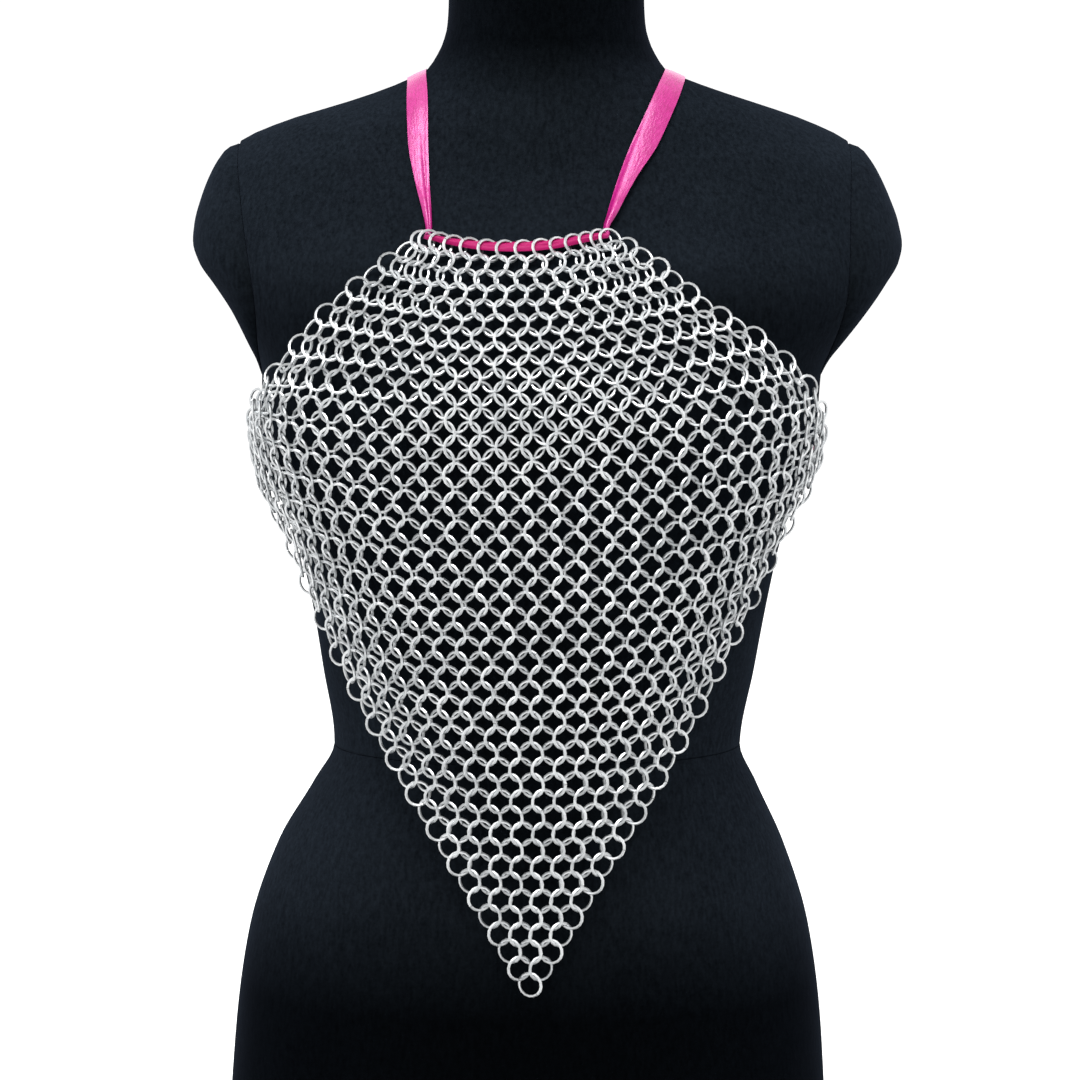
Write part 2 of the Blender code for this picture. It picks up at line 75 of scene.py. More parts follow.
# %% Colour and shader helpers
def linear(code):
    """Linear red, green, blue and alpha of an sRGB hex code: below 0.04045 a channel is divided by 12.92,
    above it the channel plus 0.055 is divided by 1.055 and raised to the power 2.4."""
    parts = np.array([int(code[i:i + 2], 16) for i in (1, 3, 5)]) / 255
    light = np.where(parts <= 0.04045, parts / 12.92, ((parts + 0.055) / 1.055) ** 2.4)
    return (*light.tolist(), 1.0)


def add_node(tree, kind, sockets=None, **settings):
    """Adds one shader node.  Settings are its own properties.  Sockets maps an input to a plain value, to an
    output of another node, or to that node alone, which means the first output it has switched on."""
    made = tree.nodes.new("ShaderNode" + kind)
    for name, value in settings.items():
        setattr(made, name, value)
    for name, value in (sockets or {}).items():
        if isinstance(value, bpy.types.Node):
            value = next(output for output in value.outputs if output.enabled)
        if isinstance(value, bpy.types.NodeSocket):
            tree.links.new(value, made.inputs[name])
        else:
            made.inputs[name].default_value = value
    return made


def new_material(name):
    """An empty material and its node tree."""
    made = bpy.data.materials.new(name)
    made.use_nodes = True
    made.node_tree.nodes.clear()
    return made, made.node_tree


# %% [markdown]
# ## Studio
# The object stands on a plain white floor in a white room, which is how small goods are shown in a shop
# catalogue.  The light is soft: one broad panel above and in front is the key, weaker ones stand above,
# on each side and behind, and the white room fills the rest.  The wall behind is lit, so the rings at the
# sides mirror white.  Standard view colour is chosen, because it shows the hex colours as they were written.

# %% Floor, room light and panels
bpy.context.scene.view_settings.view_transform = "Standard"
bpy.context.scene.view_settings.look = "None"

SKY_LOW, SKY_HIGH = 0.26, 0.80  # light of the room level with the eye, and overhead
BACKDROP = 0.6  # how much brighter the lit wall behind the object is
SEEN_WALL = 1.1  # strength of the wall where we look straight at it
room = bpy.data.worlds.new("white_room")
room.use_nodes = True
tree = room.node_tree
tree.nodes.clear()
look = add_node(tree, "TexCoord")
split = add_node(tree, "SeparateXYZ", {"Vector": look.outputs["Generated"]})
height = add_node(tree, "MapRange", {
    "Value": split.outputs["Z"], "From Min": -0.1, "From Max": 0.9, "To Min": SKY_LOW, "To Max": SKY_HIGH})
behind = add_node(tree, "MapRange", {
    "Value": split.outputs["Y"], "From Min": 0.0, "From Max": 0.6, "To Min": 0.0, "To Max": BACKDROP})
strength = add_node(tree, "Math", {0: height, 1: behind}, operation="ADD")
lit = add_node(tree, "Background", {"Color": linear("#FFFFFF"), "Strength": strength})
seen = add_node(tree, "Background", {"Color": linear("#FFFFFF"), "Strength": SEEN_WALL})
kind = add_node(tree, "LightPath")
both = add_node(tree, "MixShader", {0: kind.outputs["Is Camera Ray"], 1: lit, 2: seen})
add_node(tree, "OutputWorld", {"Surface": both})
bpy.context.scene.world = room

FLOOR_SIDES, FLOOR_RADIUS = 96, 6.0  # a round floor, radius in metres
FLOOR_DROP = 0.0001  # metres below the form, so that the two don't share a plane
FLOOR_GLOW = 0.60  # light that the paper seems to give, so that it looks white
turns = np.arange(FLOOR_SIDES) * 2 * math.pi / FLOOR_SIDES
rim = np.stack([FLOOR_RADIUS * np.cos(turns), FLOOR_RADIUS * np.sin(turns), 0 * turns - FLOOR_DROP], axis=1)
floor_mesh = bpy.data.meshes.new("floor")
floor_mesh.from_pydata(rim.tolist(), [], [tuple(range(FLOOR_SIDES))])
floor = bpy.data.objects.new("floor", floor_mesh)
bpy.context.scene.collection.objects.link(floor)
paper, tree = new_material("white_studio_paper")
seen = add_node(tree, "BsdfPrincipled", {
    "Base Color": linear("#F4F4F4"), "Roughness": 0.9, "Specular IOR Level": 0.1,
    "Emission Color": linear("#FFFFFF"), "Emission Strength": FLOOR_GLOW})
lit = add_node(tree, "BsdfDiffuse", {"Color": linear("#D8D8D8")})
kind = add_node(tree, "LightPath")
both = add_node(tree, "MixShader", {0: kind.outputs["Is Camera Ray"], 1: lit, 2: seen})
add_node(tree, "OutputMaterial", {"Surface": both})
floor_mesh.materials.append(paper)

# One row for each light panel: place and aim in metres, its two sides in metres, and its power in watts.
PANELS = {
    "panel_key": ((-0.20, -0.95, 1.62), (0.0, 0.0, 0.42), 0.9, 0.7, 21.0),
    "panel_above": ((0.0, 0.05, 1.85), (0.0, 0.0, 0.42), 1.2, 1.0, 3.0),
    "panel_left": ((-1.40, -0.35, 0.85), (0.0, 0.0, 0.35), 0.8, 1.4, 4.0),
    "panel_right": ((1.40, -0.35, 0.85), (0.0, 0.0, 0.35), 0.8, 1.4, 3.5),
    "panel_back": ((0.0, 1.4, 1.3), (0.0, 0.0, 0.35), 1.4, 0.9, 4.0),
}
for name, (place, aim, wide, tall, watts) in PANELS.items():
    light = bpy.data.lights.new(name, "AREA")
    light.shape = "RECTANGLE"
    light.size = wide
    light.size_y = tall
    light.energy = watts
    lamp = bpy.data.objects.new(name, light)
    lamp.location = place
    away = np.subtract(place, aim)
    turn = math.atan2(away[0], -away[1])
    lamp.rotation_euler = (math.atan2(math.hypot(away[0], away[1]), away[2]), 0.0, turn)
    bpy.context.scene.collection.objects.link(lamp)
print("studio:", len(PANELS), "panels")

# %% [markdown]
# ## From tables to smooth curves
# Shapes are set out in short tables, each row one level or one station.  Between the rows we need a curve
# that is smooth and never swings past its knots, because an overshoot would show as a dent in a body.
# A monotone cubic does that: where the knots rise and fall its slope is a weighted mean of the slopes on
# both sides, and at a peak it is level.

# %% Reading a table smoothly
def column(table, names, name):
    """The values of one named column of a table."""
    return np.array([row[names.index(name)] for row in table], dtype=float)


def smooth(x, knots, values):
    """Monotone cubic through the knots, read at x: on each stretch two end values and two end slopes are
    mixed by the four cubic Hermite weights."""
    x = np.clip(np.asarray(x, dtype=float), knots[0], knots[-1])
    step = np.diff(knots)
    slope = np.diff(values) / step
    same = slope[:-1] * slope[1:] > 0
    w1 = 2 * step[1:] + step[:-1]
    w2 = step[1:] + 2 * step[:-1]
    before = np.where(same, slope[:-1], 1.0)
    after = np.where(same, slope[1:], 1.0)
    inner = np.where(same, (w1 + w2) / (w1 / before + w2 / after), 0.0)
    tangent = np.concatenate([slope[:1], inner, slope[-1:]])
    i = np.clip(np.searchsorted(knots, x, side="right") - 1, 0, len(step) - 1)
    h = step[i]
    t = (x - knots[i]) / h
    return (values[i] * (1 + 2 * t) * (1 - t) ** 2 + tangent[i] * h * t * (1 - t) ** 2
            + values[i + 1] * t ** 2 * (3 - 2 * t) + tangent[i + 1] * h * t ** 2 * (t - 1))


def read(table, names, name, at):
    """One column of a table, read smoothly against its first column."""
    return smooth(at, column(table, names, names[0]), column(table, names, name))


def read_all(table, names, at):
    """All the other columns of a table, read at the same places."""
    return [read(table, names, name, at) for name in names[1:]]


def signed_power(value, exponent):
    """A power that keeps the sign of its base, so that a superellipse closes on every side."""
    return np.sign(value) * np.abs(value) ** exponent


def unit(vectors):
    """Vectors divided by their own length."""
    return vectors / np.maximum(np.linalg.norm(vectors, axis=-1, keepdims=True), 1e-12)


def square_to(vectors, others):
    """Unit vectors square to the others: the part along them, which is the others times the dot product of
    the two, is taken away."""
    return unit(vectors - others * np.sum(vectors * others, axis=-1, keepdims=True))


# %% [markdown]
# ## From grids to meshes
# Every new piece is a grid of points worked out by a formula.  A grid that runs round a body joins its last
# column to its first.  Flat ends are closed with one face each, and a thin sheet becomes a closed wall by
# laying a second grid behind the first and stitching the rims together.

# %% Faces of a grid and one piece from them
def grid_faces(rows, columns, around=False):
    """Four-sided faces of a grid counted row by row: each joins a point, its neighbour along the row, and
    the same two in the next row."""
    i = np.arange(rows - 1)[:, None] * columns
    j = np.arange(columns if around else columns - 1)[None]
    k = (j + 1) % columns
    return np.stack([i + j, i + k, i + columns + k, i + columns + j], axis=-1).reshape(-1, 4)


def closed_stack(rows, columns):
    """Faces of a body from loops stacked upwards, with one flat face at each end."""
    bottom = list(range(columns))[::-1]
    top = list(range((rows - 1) * columns, rows * columns))
    return grid_faces(rows, columns, around=True).tolist() + [bottom, top]


def wall_faces(rows, columns):
    """Faces of a closed wall between a front grid and a back grid that follows it in the point list."""
    front = grid_faces(rows, columns)
    back = front[:, ::-1] + rows * columns
    number = np.arange(rows * columns).reshape(rows, columns)
    rim = np.concatenate([number[0], number[1:, -1], number[-1, -2::-1], number[-2:0:-1, 0]])
    after = np.roll(rim, -1)
    sides = np.stack([after, rim, rim + rows * columns, after + rows * columns], axis=1)
    return np.concatenate([front, back, sides]).tolist()


def add_piece(name, points, faces, finish, crisp, slot, *nodes):
    """One object from points in millimetres.  It sits at the origin with its place in its mesh, shaded
    smooth except where faces meet at more than `crisp` degrees.  It rides on the one body that there is,
    takes the finish it is given, and hides the CAD parts that it stands for.  `slot` is not used."""
    mesh = bpy.data.meshes.new(name)
    placed = (np.asarray(points, dtype=float).reshape(-1, 3) + PLAN_SHIFT) * MM
    mesh.from_pydata(placed.tolist(), [], faces)
    mesh.materials.append(finish)
    mesh.shade_smooth()
    mesh.set_sharp_from_angle(angle=math.radians(crisp))
    piece = bpy.data.objects.new(name, mesh)
    bpy.context.scene.collection.objects.link(piece)
    triangles = sum(len(p.vertices) - 2 for p in mesh.polygons)
    size = np.ptp(placed, axis=0) / MM
    print(f"{name}: {triangles} triangles, {size[0]:.0f} x {size[1]:.0f} x {size[2]:.0f} mm")
    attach(piece, "root")
    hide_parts(*nodes)
    return piece


def mark_points(piece, name, values):
    """Gives every point of a piece a number of its own, for its material to read."""
    marks = piece.data.attributes.new(name, "FLOAT", "POINT")
    marks.data.foreach_set("value", values.astype(np.float32))


def lay_map(piece, place):
    """Gives a piece its own flat map in metres: each corner of a face takes the place of its point."""
    corner = np.empty(len(piece.data.loops), dtype=np.int32)
    piece.data.loops.foreach_get("vertex_index", corner)
    piece.data.uv_layers.new(name="along_and_across").data.foreach_set("uv", place[corner].ravel())


# %% [markdown]
# ## Cover of the dress form
# The form is covered in black cotton jersey, drawn tight.  Jersey swallows light when seen straight on and
# shows a soft grey bloom where it turns away, from the short fibres standing on it: that is the sheen.  The
# shader gives a little of it, and the rest is painted sheen: the base colour is lighter where the surface
# turns away from the front.
# Its wales are 0.7 mm apart, too fine to show here, so they are drawn 1.6 mm apart and very faint.  The base
# colour also holds painted shade: it darkens towards the lower edge and the neck, a painted fall-off of the
# light, and under the mail, a painted shadow of the mail.  That painted shadow goes by height and distance
# from the middle alone, so the back has it too, where it hardly shows.

# %% Black jersey
WALE = 1.6  # mm between knitted columns, real ones are 0.7 mm apart
CLOUD = 60  # mm across the larger, paler clouds in the dye
HEM, NECK = (75, 134), (537, 570)  # mm, heights over which the painted shade at the lower edge gives way, and the painted shade at the neck comes in
HEM_LEFT, NECK_LEFT = 0.2, 0.3  # how much tone the painted shade leaves below the first and above the second
# The mail's outline on the form, used for the painted shadow of the mail in the jersey's colour.
MAIL_FOOT, MAIL_TOP = 95, 455  # mm, heights between which the mail lies on the form
MAIL_SPREAD = 0.6  # half width of the mail for each mm above its foot
MAIL_SHADE = (-5, 30)  # mm inside the mail's outline where its painted shadow starts, and where it is full
MAIL_LEFT = 0.55  # how much of the tone is left in that painted shadow
jersey, tree = new_material("black_cotton_jersey")
place = add_node(tree, "TexCoord")
grain = add_node(tree, "TexNoise", {
    "Vector": place.outputs["Object"], "Scale": 1 / (WALE * MM), "Detail": 3.0, "Roughness": 0.65})
long_place = add_node(tree, "Mapping", {"Vector": place.outputs["Object"], "Scale": (1.0, 1.0, 0.35)})
wales = add_node(tree, "TexNoise", {"Vector": long_place, "Scale": 0.8 / (WALE * MM), "Detail": 2.0})
both = add_node(tree, "Math", {0: grain, 1: wales}, operation="ADD")
cloud = add_node(tree, "TexNoise", {
    "Vector": place.outputs["Object"], "Scale": 1 / (CLOUD * MM), "Detail": 3.0})
shade = add_node(tree, "Math", {0: cloud, 1: 0.5, 2: both}, operation="MULTIPLY_ADD")
grey = add_node(tree, "MapRange", {
    "Value": shade, "From Min": 0.75, "From Max": 1.75, "To Min": 0.4, "To Max": 1.6})
# Painted sheen: the jersey's black is lighter where the surface turns away from the front, from #111519
# straight on to #171C22 turned aside.
turned = add_node(tree, "NewGeometry")
ahead = add_node(tree, "VectorMath", {
    0: turned.outputs["Normal"], 1: (0.0, -1.0, 0.0)}, operation="DOT_PRODUCT")
square = add_node(tree, "Math", {0: ahead, 1: ahead}, operation="MULTIPLY")
aside = add_node(tree, "Math", {0: 1.0, 1: square}, operation="SUBTRACT", use_clamp=True)
sine = add_node(tree, "Math", {0: aside, 1: 0.5}, operation="POWER")
black_with_painted_sheen = add_node(tree, "ValToRGB", {"Fac": sine})
for stop, at, code in zip(black_with_painted_sheen.color_ramp.elements, (0.10, 0.70), ("#111519", "#171C22")):
    stop.position, stop.color = at, linear(code)
level = add_node(tree, "SeparateXYZ", {"Vector": place.outputs["Object"]})
# Painted shade: the base colour darkens towards the lower edge and towards the neck, a painted fall-off of
# the light.
above_hem = add_node(tree, "MapRange", {
    "Value": level.outputs["Z"], "From Min": HEM[0] * MM, "From Max": HEM[1] * MM,
    "To Min": HEM_LEFT, "To Max": 1.0})
below_neck = add_node(tree, "MapRange", {
    "Value": level.outputs["Z"], "From Min": NECK[0] * MM, "From Max": NECK[1] * MM,
    "To Min": 1.0, "To Max": NECK_LEFT})
painted_height_shade = add_node(tree, "Math", {0: above_hem, 1: below_neck}, operation="MULTIPLY")
# Painted shadow of the mail: the base colour is darker inside the mail's outline, found by height and
# distance from the middle.
off_middle = add_node(tree, "Math", {0: level.outputs["X"]}, operation="ABSOLUTE")
reached = add_node(tree, "Math", {
    0: level.outputs["Z"], 1: MAIL_SPREAD, 2: -MAIL_FOOT * MM * MAIL_SPREAD}, operation="MULTIPLY_ADD")
inside = add_node(tree, "Math", {0: reached, 1: off_middle}, operation="SUBTRACT")
below_top = add_node(tree, "Math", {0: MAIL_TOP * MM, 1: level.outputs["Z"]}, operation="SUBTRACT")
under_mail = add_node(tree, "Math", {0: inside, 1: below_top}, operation="MINIMUM")
painted_mail_shadow = add_node(tree, "MapRange", {
    "Value": under_mail, "From Min": MAIL_SHADE[0] * MM, "From Max": MAIL_SHADE[1] * MM,
    "To Min": 1.0, "To Max": MAIL_LEFT})
painted_shade_total = add_node(tree, "Math", {0: painted_height_shade, 1: painted_mail_shadow}, operation="MULTIPLY")
grain_with_all_painted_shade = add_node(tree, "Math", {0: grey, 1: painted_shade_total}, operation="MULTIPLY")
# Base colour: the black with its painted sheen, times the dye's grain and clouds and the painted shade.
tone_with_painted_light = add_node(tree, "VectorMath", {0: black_with_painted_sheen, "Scale": grain_with_all_painted_shade}, operation="SCALE")
relief = add_node(tree, "Bump", {"Height": both, "Strength": 0.35, "Distance": 0.0002})
cloth = add_node(tree, "BsdfPrincipled", {
    "Base Color": tone_with_painted_light, "Roughness": 0.95, "Specular IOR Level": 0.0,
    "Sheen Weight": 0.05, "Sheen Roughness": 0.4, "Sheen Tint": linear("#A9B9D9"),
    "Normal": relief})
add_node(tree, "OutputMaterial", {"Surface": cloth})
print("material", jersey.name)

# %% [markdown]
# ## Body of the form
# A dress form is a torso without limbs.  Each level section is a superellipse, a squarer or rounder oval,
# with its own half width, front, back and power.  Two soft hills are added in front for the bust.  The
# armholes are cut flat, so some columns of the grid are kept exactly on the edge of that cut: otherwise the
# edge would run across the faces in steps.

# %% Tables of the form
FORM_COLUMNS = ("height", "middle", "half", "front", "back", "ridge", "power")
FORM_SECTIONS = (
    (0, -10.1, 162, 93, 112, 6, 2.25),
    (60, -9.5, 157.5, 92, 113, 6, 2.25),
    (105, -9.2, 150.6, 89, 107, 4, 2.2),
    (150, -8.4, 135.8, 85, 95, 3, 2.2),
    (182, -6.2, 118.9, 80, 85, 2, 2.2),
    (204, -4.9, 108.6, 76, 79, 0, 2.2),
    (245, -4, 115, 79, 80, 0, 2.25),
    (285, -3.6, 121.8, 84, 83, 0, 2.3),
    (320, -4, 130, 92, 88, 0, 2.35),
    (360, -4, 146, 98, 93, 0, 2.45),
    (400, -2.6, 147, 98, 98, 2, 2.5),
    (440, 2, 166, 90.5, 101, 4, 2.5),
    (480, 0, 175, 69.5, 101, 6, 2.4),
    (505, -0.9, 175, 58, 96, 8, 2.1),
    (523, -1.2, 160.5, 53, 88, 9, 1.75),
    (533, -0.2, 139.5, 50.5, 81, 9, 1.7),
    (543.5, 1.8, 106.2, 48.5, 72, 8, 1.75),
    (549, 1.6, 88.8, 47.5, 67, 7, 1.8),
    (554, 0.6, 74.6, 47, 62.5, 5, 1.9),
    (559, 0, 63, 46.5, 58.5, 3, 2),
    (565, 0, 58.4, 46.5, 54.5, 1, 2),
    (572, 0, 54.6, 47, 51.5, 0, 2),
    (582, 0, 51.8, 48.3, 49.5, -1, 2),
    (596, 0, 51, 50.5, 48, -2, 2),
    (610, 0, 51, 53, 46, -4, 2),
)
WAIST_SEAM = 204.0
BUST_OUT, BUST_APART, BUST_HEIGHT, BUST_WIDE, BUST_TALL = 14.5, 60.0, 362.0, 40.0, 34.0
ARMPIT = (146.6, 400.0)  # distance from the middle and height where the cut begins
SHOULDER_END = (160.5, 523.0)  # and where it ends
ARMPIT_HALF = 147.0  # half width of the form level with the armpit
SURFACE_LOW, SURFACE_HIGH = 420.0, 600.0  # heights that hold the form's upper surface
HALVINGS = 40
WIDEST_ANGLE = 86.0  # degrees, the furthest round that an armhole's edge is looked for


# %% The form's surface
def armhole_plane(height):
    """How far out the flat armhole lies: a straight line from the armpit to the shoulder end."""
    share = (height - ARMPIT[1]) / (SHOULDER_END[1] - ARMPIT[1])
    return ARMPIT[0] + share * (SHOULDER_END[0] - ARMPIT[0])


def form_point(angle, height):
    """A point of the form: across is the half width times the sine of the angle to the power 2/power, ahead
    is the same with the cosine, stretched to the front or the back, less two bell-shaped hills for the bust.
    Between armpit and shoulder the width stops at the armhole plane."""
    height, turn = np.broadcast_arrays(np.asarray(height, dtype=float), np.radians(angle))
    middle, half, front, back, ridge, power = read_all(FORM_SECTIONS, FORM_COLUMNS, height)
    across = half * signed_power(np.sin(turn), 2 / power)
    ahead = signed_power(np.cos(turn), 2 / power)
    tall = np.exp(-0.5 * ((height - BUST_HEIGHT) / BUST_TALL) ** 2)
    hills = (np.exp(-0.5 * ((across + BUST_APART) / BUST_WIDE) ** 2)
             + np.exp(-0.5 * ((across - BUST_APART) / BUST_WIDE) ** 2))
    depth = np.where(ahead > 0, -(front + ridge), ridge - back) * ahead
    depth = ridge + depth - BUST_OUT * tall * hills * np.clip(ahead, 0, 1)
    limit = armhole_plane(height)
    cut = (height >= ARMPIT[1]) & (height <= SHOULDER_END[1])
    x = middle + np.where(cut, np.clip(across, -limit, limit), across)
    return np.stack([x, depth, height], axis=-1)


def form_height(x, y):
    """Height of the form's upper surface over a plan point, by halving the interval that holds it."""
    low = np.full(np.shape(x), SURFACE_LOW)
    high = np.full(np.shape(x), SURFACE_HIGH)
    for _ in range(HALVINGS):
        level = (low + high) / 2
        middle, half, front, back, ridge, power = read_all(FORM_SECTIONS, FORM_COLUMNS, level)
        reach = np.where(y < ridge, front + ridge, back - ridge)
        inside = np.abs((x - middle) / half) ** power + np.abs((y - ridge) / reach) ** power < 1
        low = np.where(inside, level, low)
        high = np.where(inside, high, level)
    return (low + high) / 2


FRONT_FACES, HOLE_FACES = 72, 8  # columns across the front or the back, and across one armhole
front_share = np.arange(FRONT_FACES) / FRONT_FACES
hole_share = np.arange(HOLE_FACES) / HOLE_FACES
angle_start = np.concatenate([
    0 * front_share, 180 * hole_share, 180 + 0 * front_share, 180 + 180 * hole_share])
angle_edge = np.concatenate([2 * front_share - 1, 1 - 2 * hole_share] * 2)


def form_loops(heights):
    """Level loops of the form.  The edge of the armhole cut lies at the angle whose sine, to the power
    2/power, is the cut's share of the half width, and the columns are shared out between those edges."""
    heights = np.asarray(heights, dtype=float)[:, None]
    half = read(FORM_SECTIONS, FORM_COLUMNS, "half", heights)
    power = read(FORM_SECTIONS, FORM_COLUMNS, "power", heights)
    level = np.clip(heights, ARMPIT[1], SHOULDER_END[1])
    half = np.where(level == heights, half, np.where(heights < ARMPIT[1], ARMPIT_HALF, SHOULDER_END[0]))
    share = np.clip(armhole_plane(level) / half, 0, 1) ** (power / 2)
    edge = np.minimum(np.degrees(np.arcsin(share)), WIDEST_ANGLE)
    return form_point(angle_start + angle_edge * edge, heights)


def drawn_in(loop, inset, rise):
    """A loop moved in towards its own middle by `inset` and up by `rise`."""
    middle = loop.mean(axis=0)
    out_ward = unit((loop - middle) * (1, 1, 0))
    return loop - out_ward * inset + (0.0, 0.0, rise)


def rounded_edge(loop, radius, up):
    """Loops of a quarter-round edge: the inset is the radius times one minus a cosine, the rise its sine."""
    quarter = np.radians((22.5, 45.0, 67.5, 90.0))
    return [drawn_in(loop, radius * (1 - math.cos(q)), up * radius * math.sin(q)) for q in quarter]


# %% Two halves of the torso
LOOP_STEP = 4.0
SEAM_GAP = 0.15  # each half stops this far from the waist seam
HEM_ROUND, SEAM_ROUND, NECK_ROUND = 2.5, 0.7, 3.0


def torso(name, low, high, low_round, high_round, node):
    """A closed half: a rounded lower edge, level loops about a step apart, and a rounded upper edge."""
    count = int(round((high - high_round - low - low_round) / LOOP_STEP)) + 1
    heights = np.linspace(low + low_round, high - high_round, count)
    corners = np.array([ARMPIT[1], SHOULDER_END[1]])
    heights = np.unique(np.concatenate([heights, corners[(corners > low) & (corners < high)]]))
    loops = list(form_loops(heights))
    loops = rounded_edge(loops[0], low_round, -1)[::-1] + loops + rounded_edge(loops[-1], high_round, 1)
    faces = closed_stack(len(loops), len(angle_edge))
    add_piece(name, np.concatenate(loops), faces, jersey, 30.0, "form", node)


FORM_TOP = FORM_SECTIONS[-1][0]
torso("form_hips", 0.0, WAIST_SEAM - SEAM_GAP, HEM_ROUND, SEAM_ROUND, "form_lower")
torso("form_chest", WAIST_SEAM + SEAM_GAP, FORM_TOP, SEAM_ROUND, NECK_ROUND, "form_upper")

# %% [markdown]
# ## Armhole caps
# A rounded cap closes each armhole.  Seen from the front it bulges out and down like the top of an arm.
# It is a stack of half loops: straight against the flat armhole, and bowed outwards by the amount in the
# table.

# %% Caps
CAP_COLUMNS = ("height", "out")
CAP_SECTIONS = (
    (400.6, 0.2), (401, 0.6), (408, 3), (416, 7.2), (431, 15.2), (447, 24.4), (459, 31),
    (468, 32.7), (479, 30.5), (494, 24.3), (506, 17.7), (514, 12), (520, 5.6), (521.4, 0.6),
)
CAP_GAP, CAP_INSET = 0.5, 1.0  # stands off the armhole, and lies inside its outline
CAP_POWER = 0.9
CAP_LOOPS, CAP_FACES = 49, 32  # loops from top to bottom, and faces round the bow


def cap_point(side, turn, height):
    """A point of a cap: its bow times the cosine of the turn, to the cap's power, stands out from the
    armhole, and the sine of the turn runs from the armhole's front edge to its back edge."""
    height, turn = np.broadcast_arrays(np.asarray(height, dtype=float), turn)
    middle, half, front, back, ridge, power = read_all(FORM_SECTIONS, FORM_COLUMNS, height)
    bow = read(CAP_SECTIONS, CAP_COLUMNS, "out", height)
    share = armhole_plane(height) / half
    rest = np.clip(1 - share ** power, 0.004, 1) ** (1 / power)
    near = ridge - (front + ridge) * rest + CAP_INSET
    far = ridge + (back - ridge) * rest - CAP_INSET
    x = middle + side * (armhole_plane(height) + CAP_GAP + bow * np.abs(np.cos(turn)) ** CAP_POWER)
    y = (near + far) / 2 + side * (far - near) / 2 * np.sin(turn)
    return np.stack([x, y, height], axis=-1)


cap_heights = np.unique(np.concatenate([np.linspace(401, 520, CAP_LOOPS), [400.6, 521.0, 521.4]]))[:, None]
cap_turns = np.radians(90 * np.sin(np.radians(np.linspace(-90, 90, CAP_FACES + 1))))
for side, where in ((-1, "left"), (1, "right")):
    loops = cap_point(side, cap_turns, cap_heights)
    faces = closed_stack(*loops.shape[:2])
    add_piece("armhole_cap_" + where, loops, faces, jersey, 50.0, "form", "form_cap_" + where)

# %% [markdown]
# ## Where the mail hangs
# Each ring hangs on the drape, a smooth surface that touches the bust and falls clear of the waist.  Its
# level sections are superellipses again.  A second table sets out the rows of rings: how high the middle
# and the ends of a row hang, how far the row reaches, and how the whole is drawn a little aside.

# %% Tables of the mail
DRAPE_COLUMNS = ("height", "middle", "half", "front", "power")
DRAPE_SECTIONS = (
    (60, -10, 158, 98.5, 2.1),
    (150, -8.5, 146, 100, 2.1),
    (210, -6, 130, 102, 2.1),
    (260, -5.2, 126.5, 106, 2.28),
    (310, -4.8, 132.5, 113, 2.54),
    (350, -4.6, 145.8, 118, 2.87),
    (385, -4.6, 149.4, 118, 3.47),
    (415, -4.3, 151.5, 109.5, 2.86),
    (440, -4, 154, 98, 2.51),
    (470, -4, 157, 81, 2.5),
)
ROW_COLUMNS = (
    "row", "centre", "edge", "reach", "crowd", "sway", "drift", "tilt", "slant", "arch", "bow", "swell")
RING_ROWS = (
    (0, 96.6, 96.6, 0, 0, 1.2, 1.2, 0, 0, 0, 0, 0),
    (8, 165.6, 166.9, 41.1, 0, 0.9, 0, -0.7, -0.3, 1.5, -1.3, -0.03),
    (12, 198.9, 201.4, 63.2, 0.04, -0.8, -1.4, -0.5, 1.6, -0.8, -2.6, -0.03),
    (16, 230.3, 235.6, 86, 0.06, -2.5, -2.3, 0.7, 2.6, -2.6, -1.6, 0),
    (20, 260.9, 270.8, 109.7, 0.09, -3.6, -3.6, 2.2, 4.5, -8.1, 2, -0.01),
    (24, 290.4, 305.9, 135.7, 0.09, -5.3, -3.7, 3, 5.8, -9.8, 4.7, -0.04),
    (28, 319, 338.7, 161.3, 0.09, -6.6, -4.2, 5.2, 6.1, -3.3, 3.6, -0.02),
    (31, 340.2, 360.9, 178, 0.11, -7.8, -4.3, 6, 6.8, 2.9, 1.7, -0.02),
    (34, 361.1, 377.7, 165.9, 0.05, -8.2, -5.9, 9.3, 6.6, 4.3, -4.5, 0.08),
    (37, 380.5, 395.1, 144.3, 0.04, -8.7, -9.8, 13.2, 5.7, 10.1, -1, 0.12),
    (40, 399.4, 413.9, 118.9, 0.09, -9.5, -10.3, 11.2, 2.5, 9.4, -1.6, 0.03),
    (43, 419.1, 432.9, 93.8, 0.12, -10.1, -12.8, 3.7, 2.2, 5.3, -2.3, -0.04),
    (46, 440.5, 451.9, 70.1, 0.15, -11.1, -11.7, 3.5, 1.9, -0.6, -0.7, -0.1),
    (49, 462.4, 468, 46.3, 0.28, -11, -11, 0.3, 1, 5.7, -3, 0),
)


# %% The drape surface
CHORDS = 180  # short steps from the middle of a level section to its side
LEAST_REACH = 6.0  # mm, so that the single lowest ring has a left and a right


